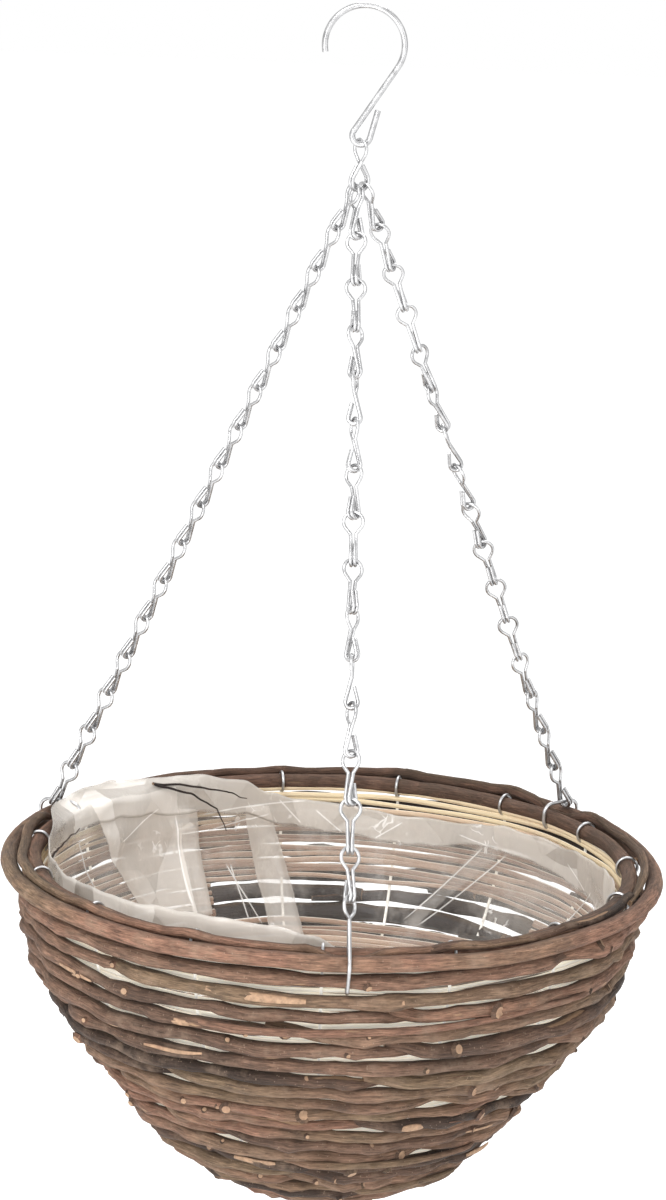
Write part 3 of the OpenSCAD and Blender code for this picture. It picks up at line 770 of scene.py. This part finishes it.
def wall_rod(row, rod, offsets):
    """One bark-covered rod of a row; both ends are tucked in behind their neighbours."""
    base = row_length(row)
    r = wall_point(base, ROD_D / 2)[0]
    arc = math.radians(rod["sweep"]) * r
    steps = max(int(arc / (5 * MM)), 12)
    places, outs, radii = [], [], []
    for i in range(steps + 1):
        share = i / steps
        azimuth = rod["start"] + rod["sweep"] * share
        cell = (azimuth / AZIMUTH_STEP) % SAMPLES
        low = int(cell) % SAMPLES
        push = offsets[low] + (offsets[(low + 1) % SAMPLES] - offsets[low]) * (cell - int(cell))
        radius = (rod["butt"] + (rod["tip"] - rod["butt"]) * share) * pressed(azimuth)
        run_left, run_done = arc * (1 - share), arc * share
        thin_end, thick_end = smooth_step(1 - run_left / (50 * MM)), smooth_step(1 - run_done / (34 * MM))
        radius *= (1 - 0.62 * thin_end) * (1 - 0.25 * thick_end)
        for knot in rod["knots"]:
            radius += 0.6 * MM * math.exp(-(((share - knot) * arc / (4 * MM)) ** 2))
        radius *= 1 + 0.1 * noise.noise(Vector((azimuth * 0.13, rod["seed"], 2)))
        wave = noise.noise(Vector((azimuth * 0.05, rod["seed"] * 0.37, 8))) * 2.2 * MM
        wave += noise.noise(Vector((azimuth * 0.14, rod["seed"] * 0.61, 3))) * 1.8 * MM
        wave *= smooth_step(r / (70 * MM)) * (1 - 0.65 * closeness(row, azimuth))
        radius *= 1 + 0.13 * closeness(row, azimuth)
        held = 1.0
        if row <= 2:
            clear = azimuth_gap(azimuth, FRONT_CLIP_AZIMUTH)
            held = smooth_step((clear - 2) / 9)
            radius = min(radius, 4.4 * MM + 1 * MM * held)
            wave *= 0.45 * held
            push *= 0.6 * held
        lean = 1.6 * MM * noise.noise(Vector((azimuth * 0.08, rod["seed"], 4)))
        depth = RIB_FACE_DEPTH - 0.3 * MM - radius - abs(lean)
        depth += 5 * MM * max(thin_end, thick_end) * (1 if row > 2 else held)
        length = base + push + wave + (1.8 * MM * thin_end - 1.2 * MM * thick_end if row > 2 else 0)
        length = min(length, wall_length(depth) - 2 * MM)
        places.append(wall_place(azimuth, length, depth))
        outs.append((places[-1] - wall_place(azimuth, length, depth + MM)).normalized())
        radii.append(radius)
    bm = swept_rod(places, outs, radii, 12, rod["tone"])
    roughen(bm, 0.5 * MM, 0.26 * MM, rod["seed"])
    return bm, (places, outs, radii)


def along_rod(line, share):
    """Place, outward way, radius and onward way at a share of a rod's length."""
    places, outs, radii = line
    i = min(int(share * (len(places) - 1)), len(places) - 2)
    return places[i], outs[i], radii[i], (places[i + 1] - places[i]).normalized()


def cut_stub(line, share, roll, stub_r, length, tone):
    """The stub of a side shoot, sawn off close to its rod."""
    place, out, radius, way = along_rod(line, share)
    across = way.cross(out)
    side = out * math.cos(roll) + across * math.sin(roll)
    side = (side + way * 0.35).normalized()
    reach = (0.45, 0.8, 1.0, 1.0)
    widths = (1.7, 1.3, 1.08, 1.0)
    places = [place + side * (radius * 0.55 + (radius * 0.45 + length) * share_out) for share_out in reach[:-1]]
    places.append(places[-1] + side * 0.3 * MM)
    bm = swept_rod(places, [way] * 4, [stub_r * width for width in widths], 9, tone)
    roughen(bm, 0.12 * MM, 0.15 * MM, tone * 50)
    return bm


def bark_sliver(line, share, roll, length, width, lift, seed, sunk=0.0, flat=0.22):
    """A strip of bark torn loose along a rod, its end standing off; a sunk one is a peeled patch."""
    place, out, radius, way = along_rod(line, share)
    across = way.cross(out)
    steps = 12
    places, outs, radii = [], [], []
    for i in range(steps + 1):
        run = i / steps
        turn = roll + 0.5 * run * noise.noise(Vector((seed, run, 0)))
        side = out * math.cos(turn) + across * math.sin(turn)
        rise = radius + 0.25 * MM - sunk + lift * run * run
        drop = (length * run) ** 2 / (2 * max(math.hypot(place.x, place.y), 0.05))
        inward = Vector((-place.x, -place.y, 0)).normalized()
        places.append(place + way * length * run + inward * drop + side * rise)
        outs.append(side)
        radii.append(width * (0.25 + 0.75 * math.sin(math.pi * min(run * 0.86 + 0.08, 1)) ** 0.6))
    sides = 8 if sunk else 6
    bm = swept_rod(places, outs, radii, sides, 0.5, flat=flat)
    roughen(bm, 0.1 * MM, 0.1 * MM, seed)
    return bm


def filler_rod(row, start, sweep, radius, drift, rng, offsets):
    """A thin rod in the groove between two rows, which crosses from one groove towards the next."""
    seed = rng.uniform(500, 900)
    r = wall_point(row_length(row), 0)[0]
    steps = int(math.radians(abs(sweep)) * r / (5 * MM))
    places, outs, radii = [], [], []
    for i in range(steps + 1):
        share = i / steps
        azimuth = start + sweep * share
        cell = int((azimuth / AZIMUTH_STEP) % SAMPLES)
        ends = max(smooth_step(1 - share * 7), smooth_step(1 - (1 - share) * 7))
        wave = noise.noise(Vector((azimuth * 0.06, seed, 1))) * 1.2 * MM
        length = row_length(row) + ROW_PITCH * (0.5 + drift * (share - 0.5)) + offsets[cell] + wave
        depth = 0.6 * MM + 4.5 * MM * ends + noise.noise(Vector((azimuth * 0.07, seed, 6))) * 0.8 * MM
        places.append(wall_place(azimuth, length, depth))
        outs.append((places[-1] - wall_place(azimuth, length, depth + MM)).normalized())
        radii.append(radius * (1 - 0.45 * share) * (1 - 0.4 * ends))
    bm = swept_rod(places, outs, radii, 9, rng.random())
    roughen(bm, 0.25 * MM, 0.12 * MM, seed)
    return bm


ROW_GROUPS = (("upper", 1, 6), ("middle", 7, 12), ("lower", 13, 18), ("bottom", 19, ROW_COUNT))
# Filled by the wall rods, for the pieces that lie on them
WALL_LINES = []
WALL_OFFSETS = []


class BASKET_OT_wall_rods(bpy.types.Operator):
    """Builds the stacked rows of bark-covered rods"""

    bl_idname = "basket.wall_rods"
    bl_label = "Wall rods"

    def execute(self, context):
        materials = bark_and_cut("wall_bark", 0.85)
        rng = random.Random(11)
        rows = [row_rods(row, rng) for row in range(1, ROW_COUNT + 1)]
        offsets = stacked_offsets(rows)
        WALL_LINES.clear()
        WALL_OFFSETS[:] = offsets
        for name, first, last in ROW_GROUPS:
            made = []
            for row in range(first, last + 1):
                for rod in rows[row - 1]:
                    mesh, line = wall_rod(row, rod, offsets[row - 1])
                    made.append(mesh)
                    WALL_LINES.append((row, rod, line))
            if last == ROW_COUNT:
                made.append(bottom_plug())
            rods = join_all(f"{name}_wall_rods", made, materials)
            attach(rods, "basket")
            if first == 1:
                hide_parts("wall_rods")
        return {"FINISHED"}


class BASKET_OT_thin_rods(bpy.types.Operator):
    """Builds the thin rods that lie in the grooves between the rows"""

    bl_idname = "basket.thin_rods"
    bl_label = "Thin rods in the grooves"

    def execute(self, context):
        rng = random.Random(23)
        made = []
        for i in range(11):
            row = 3 + (i * 7) % 17
            start = rng.uniform(0, 360)
            sweep = rng.uniform(50, 95)
            radius = rng.uniform(1.7, 2.7) * MM
            made.append(filler_rod(row, start, sweep, radius, rng.uniform(-1.1, 1.1), rng, WALL_OFFSETS[row - 1]))
        rods = join_all("thin_groove_rods", made, bark_and_cut())
        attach(rods, "basket")
        return {"FINISHED"}


# Knots that stand out: azimuth, row, radius in millimetres and turn round the rod
SEEN_KNOTS = (
    (32, 3, 3.2, 0.1), (59, 1, 1.5, 0.2), (7.5, 1, 1.8, 0.5), (-7, 4, 2.1, 0.3), (-21.5, 10, 2.3, 0.2),
    (-33, 10, 1.5, 0.1), (-50, 3, 1.4, 0.3), (-43, 2, 1.3, 0.0), (34, 8, 1.2, 0.0), (-1, 17, 1.4, 0.3),
    (45, 13, 1.3, 0.0),
)
# Peeled patches: azimuth of the middle, row, length, half width in millimetres and turn round the rod
SEEN_PEELS = (
    (-36, 2, 30, 3.1, 0.2), (-44, 5, 14, 3.0, 0.1), (-12, 2, 52, 2.4, -0.5),
    (10, 2, 24, 2.0, -0.4), (-27, 4, 12, 2.0, 0.3), (24, 11, 14, 2.2, 0.2),
)


def rod_at(row, azimuth):
    """The line of the rod of a row that covers an azimuth, and the share of its length there."""
    found = None
    for at, rod, line in WALL_LINES:
        share = (azimuth - rod["start"]) % 360 / rod["sweep"]
        if at == row and share < 1 and (found is None or abs(share - 0.5) < abs(found[1] - 0.5)):
            found = line, share
    return found


class BASKET_OT_knots_and_slivers(bpy.types.Operator):
    """Builds the sawn stubs of side shoots, torn strips of bark and loose fibres"""

    bl_idname = "basket.knots_and_slivers"
    bl_label = "Knots, slivers and fibres"

    def execute(self, context):
        rng = random.Random(31)
        stubs, slivers, fibres = [], [], []
        for row, rod, line in WALL_LINES:
            for knot in rod["knots"][:2]:
                if row > 20 or (row <= 2 and rng.random() < 0.5):
                    continue
                size = rng.choice((0.9, 1.1, 1.2, 1.4, 1.7, 2.5)) * MM
                roll = rng.uniform(-0.9, 0.9)
                stubs.append(cut_stub(line, knot, roll, size, rng.uniform(0.1, 0.8) * MM, rng.random()))
            if rng.random() < 0.22 and 2 < row < 20:
                args = rng.uniform(0.1, 0.8), rng.uniform(-0.7, 0.5), rng.uniform(14, 42) * MM
                slivers.append(
                    bark_sliver(line, *args, rng.uniform(0.8, 1.7) * MM, rng.uniform(0.1, 1.2) * MM, rng.random() * 90)
                )
            if rng.random() < 0.3 and row < 20:
                args = rng.uniform(0.1, 0.85), rng.uniform(-1.2, 1.2), rng.uniform(9, 22) * MM
                fibres.append(bark_sliver(line, *args, 0.28 * MM, rng.uniform(0.4, 2.4) * MM, rng.random() * 90))
        for azimuth, row, size, roll in SEEN_KNOTS:
            line, share = rod_at(row, azimuth)
            stubs.append(cut_stub(line, share, roll, size * MM, 0.5 * MM, 0.5))
        for seed, (azimuth, row, length, width, roll) in enumerate(SEEN_PEELS):
            r = wall_point(row_length(row), 0)[0]
            line, share = rod_at(row, azimuth - math.degrees(length / 2 * MM / r))
            sunk = 1.1 * MM if width > 2 else 0.8 * MM
            slivers.append(bark_sliver(line, share, roll, length * MM, width * MM, 0, seed * 3.7, sunk, 0.4))
        bark, cut = bark_and_cut()
        for name, made, materials in (
            ("sawn_stubs", stubs, [bark, cut]),
            ("bark_slivers", slivers, [cut, cut]),
            ("loose_fibres", fibres, [bark, cut]),
        ):
            piece = join_all(name, made, materials)
            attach(piece, "basket")
        return {"FINISHED"}


# Thin twigs that stray over the film: azimuth, height and distance inside the film in millimetres, bend by bend
STRAY_TWIGS = (
    ((-138, 8, 1), (-146, 1, 9), (-152, -8, 12), (-155, -22, 10)),
    ((-138, 8, 0), (-148, 4, 6), (-155, 0, 8), (-160, -5, 8)),
    ((-88, -2, 2), (-94, -2, 4), (-101, -1, 6), (-107, 1, 8)),
)


class BASKET_OT_stray_twigs(bpy.types.Operator):
    """Builds the few thin twigs that stray from the rim over the film"""

    bl_idname = "basket.stray_twigs"
    bl_label = "Stray twigs"

    def execute(self, context):
        made = []
        for seed, bends in enumerate(STRAY_TWIGS):
            places, outs, radii = [], [], []
            steps = 8 * (len(bends) - 1)
            for i in range(steps + 1):
                at, share = divmod(i / 8, 1)
                if at == len(bends) - 1:
                    at, share = at - 1, 1.0
                before, after = bends[int(at)], bends[int(at) + 1]
                azimuth, height, inside = (a + (b - a) * share for a, b in zip(before, after))
                out = outward(azimuth)
                sway = noise.noise(Vector((i * 0.3, seed, 7))) * 1.2 * MM
                r = LINER_MOUTH_R - inside * MM
                places.append(out * r + Vector((0, 0, RIM_Z + height * MM + sway)))
                outs.append(out)
                radii.append((0.75 - 0.5 * i / steps) * MM)
            made.append(swept_rod(places, outs, radii, 6, 0.0))
        twigs = join_all("stray_twigs", made, bark_and_cut("twig_bark", 0.6))
        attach(twigs, "basket")
        return {"FINISHED"}


def bottom_plug():
    """The sawn plug in the middle of the bottom."""
    z = RIM_Z + LOWER_CURVE_Z - LOWER_CURVE_R
    heights = (0, 0.6 * MM, 3 * MM, 6 * MM, ROD_D)
    radii = (3.4 * MM, 4.1 * MM, 4.3 * MM, 4.2 * MM, 4.0 * MM)
    places = [Vector((0, 0, z + height)) for height in heights]
    return swept_rod(places, [Vector((0, -1, 0))] * len(places), radii, 14, 0.4)


class BASKET_OT_inner_splits(bpy.types.Operator):
    """Builds the thin splits that line the wall"""

    bl_idname = "basket.inner_splits"
    bl_label = "Inner splits"

    def execute(self, context):
        sizes, colours = settings()
        peeled = shared_material(
            "peeled_split",
            lambda: split_material("peeled_split", colours.split_light, colours.split_dark, colours.split_pale),
        )
        cream = shared_material(
            "cream_split",
            lambda: split_material("cream_split", colours.cream_light, colours.split_light, colours.split_pale),
        )
        pitch = ROW_PITCH / 3
        first = 3.3 * MM
        count = int((wall_length(SPLIT_DEPTH) - first - 2.9 * MM) / pitch)
        groups = {"flank_split_rows": [], "bottom_split_rows": [], "cream_split_rows": []}
        rng = random.Random(5)
        for i in range(count + 1):
            length = first + i * pitch
            r, z = wall_point(length, SPLIT_DEPTH)
            missing = BARE_LOW < z < BARE_HIGH
            start, sweep = (BARE_START, BARE_SWEEP) if missing else (rng.uniform(0, 360), 360)
            size = rng.uniform(0.78, 1.12)
            seed = 300 + i
            steps = max(int(math.radians(sweep) * r / (9 * MM)), 16)
            places, outs, radii = [], [], []
            for k in range(steps + 1):
                azimuth = start + sweep * k / steps
                turn = math.radians(azimuth)
                wave = noise.noise(Vector((math.sin(turn) * 2.6, math.cos(turn) * 2.6, seed))) * 2.2 * MM
                depth = SPLIT_DEPTH + noise.noise(Vector((math.sin(turn) * 3, math.cos(turn) * 3, -seed))) * 0.5 * MM
                places.append(wall_place(azimuth, length + wave, depth))
                outs.append((places[-1] - wall_place(azimuth, length + wave, depth + MM)).normalized())
                radii.append(size * sizes.split_r * (1 + 0.22 * noise.noise(Vector((turn * 3, seed, 3)))))
            if sweep == 360:
                places[-1], outs[-1], radii[-1] = places[0].copy(), outs[0], radii[0]
            group = "cream_split_rows" if i < 6 else "flank_split_rows" if z > FLANK_END_Z else "bottom_split_rows"
            groups[group].append(swept_rod(places, outs, radii, 6, rng.uniform(0.1, 0.9)))
        for name, made in groups.items():
            splits = join_all(name, made, [cream if name == "cream_split_rows" else peeled] * 2)
            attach(splits, "basket")
            if name != "cream_split_rows":
                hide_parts(name.replace("_rows", "s"))
        return {"FINISHED"}


# Height of the film's edge above the middle of the rim, by azimuth, in millimetres
FILM_EDGE = (
    (-180, -10), (-172, -8), (-166, -4), (-160, 4), (-150, 8), (-125, 12), (-106, 11), (-92, 8), (-70, 7),
    (-50, 9), (-24, 12), (-11, 11), (-3, 7), (3, 1), (15, -2), (40, -4), (70, -6), (92, -5), (110, -8),
    (124, -10), (140, -10), (153, -14), (166, -14), (180, -10),
)
# Height of the lower border of the cuff, which lies folded inwards
CUFF_BORDER = (
    (-180, -27), (-170, -23), (-160, -16), (-150, -12), (-118, -5), (-102, -7), (-94, -20), (-80, -32),
    (0, -24), (60, -32), (97, -35), (115, -30), (130, -26), (146, -24), (158, -30), (168, -31), (180, -27),
)
# Panels where the film lies folded double, by the azimuth and height of their corners
WIDE_FOLDS = (((-118.5, 6), (-133, -64), (-146, -68), (-144, 4)),)
NARROW_FOLDS = (
    ((-144, -8), (-145, -70), (-151, -68), (-149, -10)),
    ((-161, -12), (-165, -84), (-174, -84), (-165.5, -12)),
    ((104, -28), (113, -54), (108, -58), (97, -34)),
)
FAINT_FOLDS = (
    ((139.7, -22), (158.3, -72), (162, -72), (146, -22)),
    ((-156, -40), (-163.5, -76), (-160, -76), (-157.5, -40)),
    ((60, -30), (75, -90), (84, -90), (72, -30)),
)
FILM_ROWS = 98
CUFF_ROWS = 12
FILM_STEPS = 396


def fold_depth(folds, azimuth, z):
    """How far inside a fold a place lies, in millimetres; negative outside."""
    deepest = -9.0
    for corners in folds:
        places = [Vector((a * 2.6, h)) for a, h in corners]
        here = Vector((azimuth * 2.6, z / MM))
        sides = zip(places, places[1:] + places[:1])
        cuts = [(b - a).cross(here - a) / (b - a).length for a, b in sides]
        turn = 1 if (places[1] - places[0]).cross(places[2] - places[0]) > 0 else -1
        deepest = max(deepest, min(cut * turn for cut in cuts))
    return deepest


def film_place(azimuth, row):
    """Place of the film at an azimuth, on a row counted from the bottom over the edge into the cuff."""
    edge = (from_table(FILM_EDGE, azimuth) + noise.noise(outward(azimuth) * 11) * 1.3) * MM
    border = (from_table(CUFF_BORDER, azimuth) + noise.noise(outward(azimuth) * 14 + Vector((0, 0, 4))) * 1.4) * MM
    full = wall_length(LINER_DEPTH)
    fold_h = settings()[0].fold_h
    if row <= FILM_ROWS:
        run = (row / FILM_ROWS) ** 0.9 * (full + edge)
        layer = 0
    else:
        run = full + edge - (row - FILM_ROWS - 1) / (CUFF_ROWS - 1) * (edge - border)
        layer = 1
    if run <= full:
        r, z = wall_point(full - run, LINER_DEPTH + 0.5 * MM)
    else:
        r, z = LINER_MOUTH_R, run - full
    r = min(r, LINER_MOUTH_R - 0.4 * MM)
    out = outward(azimuth)
    here = out * r + Vector((0, 0, z))
    spread = smooth_step(r / (70 * MM))
    near_edge = smooth_step((run - full - edge + 10 * MM) / (10 * MM))
    wide, narrow, faint = (fold_depth(folds, azimuth, z) for folds in (WIDE_FOLDS, NARROW_FOLDS, FAINT_FOLDS))
    stand = 0.3 * smooth_step((wide + 2) / 5) + 0.4 * smooth_step((narrow + 1) / 3)
    stand += 0.12 * smooth_step((faint + 1) / 3)
    stand *= 1 - 0.6 * smooth_step((z - border) / (10 * MM) + 1)
    sway = noise.noise(here * 17) * 0.3 + noise.noise(here * 44) * 0.16
    inward = fold_h * (stand + max(sway, 0)) * spread * (1 - 0.7 * near_edge)
    inward += (0.5 * MM + noise.noise(here * 30) * 0.2 * MM) * layer
    if z > 2 * MM:
        lean = 9.5 * MM * smooth_step((azimuth + 154) / 12) * smooth_step((-94 - azimuth) / 16)
        rise = z - 5 * MM
        inward -= max(min(lean * rise / (5 * MM), lean), 0)
        inward -= noise.noise(out * 7 + Vector((0, 0, 3))) * 1.6 * MM * smooth_step(z / (5 * MM))
    r = max(r - max(inward, -12 * MM), 0)
    clear = smooth_step(1 - abs(z + 0.066) / 0.024) * smooth_step(azimuth_gap(azimuth, 0) / 30 - 3)
    milk = 0.13 + 0.12 * noise.noise(here * 9 + Vector((5, 5, 5))) - 0.07 * clear
    milk += 0.33 * smooth_step((z - border) / (2 * MM))
    lift = 0.3 * max(inward, 0) * smooth_step(-z / (90 * MM))
    return out * r + Vector((0, 0, RIM_Z + z + lift)), (milk, wide, narrow, faint)


class BASKET_OT_liner_film(bpy.types.Operator):
    """Builds the creased plastic film that lines the bowl, with its folded cuff"""

    bl_idname = "basket.liner_film"
    bl_label = "Liner film"

    def execute(self, context):
        sizes, colours = settings()
        bm = bmesh.new()
        layers = [bm.verts.layers.float.new(name) for name in ("milk", "wide_fold", "narrow_fold", "faint_fold")]
        rows = bm.verts.layers.int.new("row")
        steps = bm.verts.layers.int.new("step")
        made = [bm.verts.new((0.001 * row, 0, 0)) for row in range(FILM_ROWS + CUFF_ROWS + 1)]
        for row, v in enumerate(made):
            v[rows] = row
        ring = [bm.edges.new(pair) for pair in zip(made, made[1:])]
        last_edges = ring
        for step in range(1, FILM_STEPS + 1):
            grown = bmesh.ops.extrude_edge_only(bm, edges=last_edges)["geom"]
            verts = {g for g in grown if isinstance(g, bmesh.types.BMVert)}
            for v in verts:
                v[steps] = step
            last_edges = [
                g for g in grown if isinstance(g, bmesh.types.BMEdge) and g.verts[0] in verts and g.verts[1] in verts
            ]
        for v in bm.verts:
            v.co, values = film_place(-180 + 360 * (v[steps] % FILM_STEPS) / FILM_STEPS, v[rows])
            for layer, value in zip(layers, values):
                v[layer] = value
        bmesh.ops.remove_doubles(bm, verts=bm.verts[:], dist=1e-6)
        bmesh.ops.recalc_face_normals(bm, faces=bm.faces[:])
        bmesh.ops.solidify(bm, geom=bm.faces[:], thickness=sizes.film_t)
        for f in bm.faces:
            f.smooth = True
        film = join_all("liner_sheet", [bm], [shared_material("milky_film", lambda: film_material(colours))])
        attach(film, "basket")
        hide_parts("liner")
        return {"FINISHED"}


WIRE_NODES = [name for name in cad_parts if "link" in name or "clip" in name or name == "rib_wires"]


class BASKET_OT_galvanised_wire(bpy.types.Operator):
    """Gives the hook, the chains, the clips and the ribs their galvanised finish"""

    bl_idname = "basket.galvanised_wire"
    bl_label = "Galvanised wire"

    def execute(self, context):
        colours = settings()[1]
        wire = wire_material("bright_wire", colours.wire, colours.wire_spot)
        stout = wire_material("stout_wire", tuple(c * 0.92 for c in colours.wire), colours.wire_spot)
        ribs = wire_material("rib_wire_zinc", colours.wire, colours.wire_spot, RIM_Z - 7 * MM)
        for name in WIRE_NODES + ["hook"]:
            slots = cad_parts[name].material_slots
            for place in slots:
                place.material = {"hook": stout, "rib_wires": ribs}.get(name, wire)
        return {"FINISHED"}


# Stage

CAMERA_PLACE = Vector((0, -2.37306, RIM_Z + 0.71838))
CAMERA_PITCH = 13.62
CAMERA_YAW = -0.12
CAMERA_ROLL = 2.28
CAMERA_LENS = 140.25
FLOOR_Z = -1.15
LAMPS = (
    # name, place, aim, size, energy
    ("key", (-1.0, -1.8, 1.5), (0, 0, -0.5), 1.3, 50),
    ("fill", (1.7, -1.5, 0.2), (0, 0, -0.45), 2.0, 15),
    ("low", (-0.8, -1.9, -0.85), (0, 0, -0.55), 1.6, 31),
    ("back", (0.3, 1.2, 1.5), (0, 0, -0.4), 1.4, 26),
)
WORLD_LIGHT = 0.76


def add_camera():
    pitch, yaw, roll = (math.radians(angle) for angle in (CAMERA_PITCH, CAMERA_YAW, CAMERA_ROLL))
    ahead = Vector((math.sin(yaw) * math.cos(pitch), math.cos(yaw) * math.cos(pitch), -math.sin(pitch)))
    right = ahead.cross(Vector((0, 0, 1))).normalized()
    up = right.cross(ahead)
    across = right * math.cos(roll) + up * math.sin(roll)
    above = up * math.cos(roll) - right * math.sin(roll)
    turned = Matrix((across, above, -ahead)).transposed().to_4x4()
    camera = bpy.data.objects.new("camera", bpy.data.cameras.new("camera"))
    camera.data.lens = CAMERA_LENS
    camera.data.sensor_width = 36
    camera.data.clip_end = 50
    camera.matrix_world = Matrix.Translation(CAMERA_PLACE) @ turned
    bpy.context.scene.collection.objects.link(camera)
    bpy.context.scene.camera = camera


def seen_ray(tree):
    """1 for rays that show the background itself: straight, mirrored or through glass."""
    path = tree.nodes.new("ShaderNodeLightPath")
    either = tree.nodes.new("ShaderNodeMath")
    either.operation = "MAXIMUM"
    tree.links.new(path.outputs["Is Camera Ray"], either.inputs[0])
    tree.links.new(path.outputs["Is Glossy Ray"], either.inputs[1])
    every = tree.nodes.new("ShaderNodeMath")
    every.operation = "MAXIMUM"
    tree.links.new(either.outputs[0], every.inputs[0])
    tree.links.new(path.outputs["Is Transmission Ray"], every.inputs[1])
    return every.outputs[0]


class BASKET_OT_studio(bpy.types.Operator):
    """Adds the white studio: floor, world, soft lamps and the camera"""

    bl_idname = "basket.studio"
    bl_label = "Studio"

    def execute(self, context):
        scene = context.scene
        scene.view_settings.view_transform = "Standard"
        world = bpy.data.worlds.new("studio_white")
        scene.world = world
        world.use_nodes = True
        tree = world.node_tree
        strength = tree.nodes.new("ShaderNodeMapRange")
        tree.links.new(seen_ray(tree), strength.inputs["Value"])
        strength.inputs["To Min"].default_value = WORLD_LIGHT
        strength.inputs["To Max"].default_value = 1
        background = tree.nodes["Background"]
        background.inputs["Color"].default_value = (1, 1, 1, 1)
        tree.links.new(strength.outputs["Result"], background.inputs["Strength"])
        bm = bmesh.new()
        bmesh.ops.create_grid(bm, x_segments=1, y_segments=1, size=9)
        bmesh.ops.translate(bm, vec=(0, 0, FLOOR_Z), verts=bm.verts[:])
        m = Recipe("studio_floor")
        shade = m.clouds(m.place(), 3, detail=2)
        m.set(Base_Color=m.ramp(shade, [(0.3, 0.86), (0.7, 0.88)]), Roughness=0.9, Specular_IOR_Level=0.0)
        m.put(m.shader.inputs["Emission Color"], (1, 1, 1))
        m.put(m.shader.inputs["Emission Strength"], m.level(seen_ray(m.tree), 0, 1, 0, 0.38))
        floor = join_all("studio_floor", [bm], [m.material])
        for name, place, aim, size, energy in LAMPS:
            lamp = bpy.data.lights.new(name, "AREA")
            lamp.shape = "DISK"
            lamp.size = size
            lamp.energy = energy
            hung = bpy.data.objects.new(name, lamp)
            hung.location = place
            hung.rotation_euler = (Vector(aim) - Vector(place)).to_track_quat("-Z", "Y").to_euler()
            scene.collection.objects.link(hung)
        add_camera()
        return {"FINISHED"}


OPERATORS = (
    BASKET_OT_studio,
    BASKET_OT_galvanised_wire,
    BASKET_OT_rim_rods,
    BASKET_OT_wall_rods,
    BASKET_OT_thin_rods,
    BASKET_OT_knots_and_slivers,
    BASKET_OT_stray_twigs,
    BASKET_OT_inner_splits,
    BASKET_OT_liner_film,
)


class BASKET_PT_pieces(bpy.types.Panel):
    """Lists the basket's pieces in the sidebar"""

    bl_label = "Hanging basket"
    bl_idname = "BASKET_PT_pieces"
    bl_space_type = "VIEW_3D"
    bl_region_type = "UI"
    bl_category = "Basket"

    def draw(self, context):
        sizes, colours = settings()
        for operator in OPERATORS:
            self.layout.operator(operator.bl_idname)
        for group in (sizes, colours):
            for name in group.bl_rna.properties.keys():
                if name not in ("rna_type", "name"):
                    self.layout.prop(group, name)


CLASSES = (BasketSizes, BasketColours, *OPERATORS, BASKET_PT_pieces)


def register():
    for made in CLASSES:
        bpy.utils.register_class(made)
    bpy.types.Scene.basket_sizes = bpy.props.PointerProperty(type=BasketSizes)
    bpy.types.Scene.basket_colours = bpy.props.PointerProperty(type=BasketColours)


def unregister():
    del bpy.types.Scene.basket_colours
    del bpy.types.Scene.basket_sizes
    for made in reversed(CLASSES):
        bpy.utils.unregister_class(made)


def main():
    register()
    for operator in OPERATORS:
        group, name = operator.bl_idname.split(".")
        getattr(getattr(bpy.ops, group), name)()


if __name__ == "__main__":
    main()
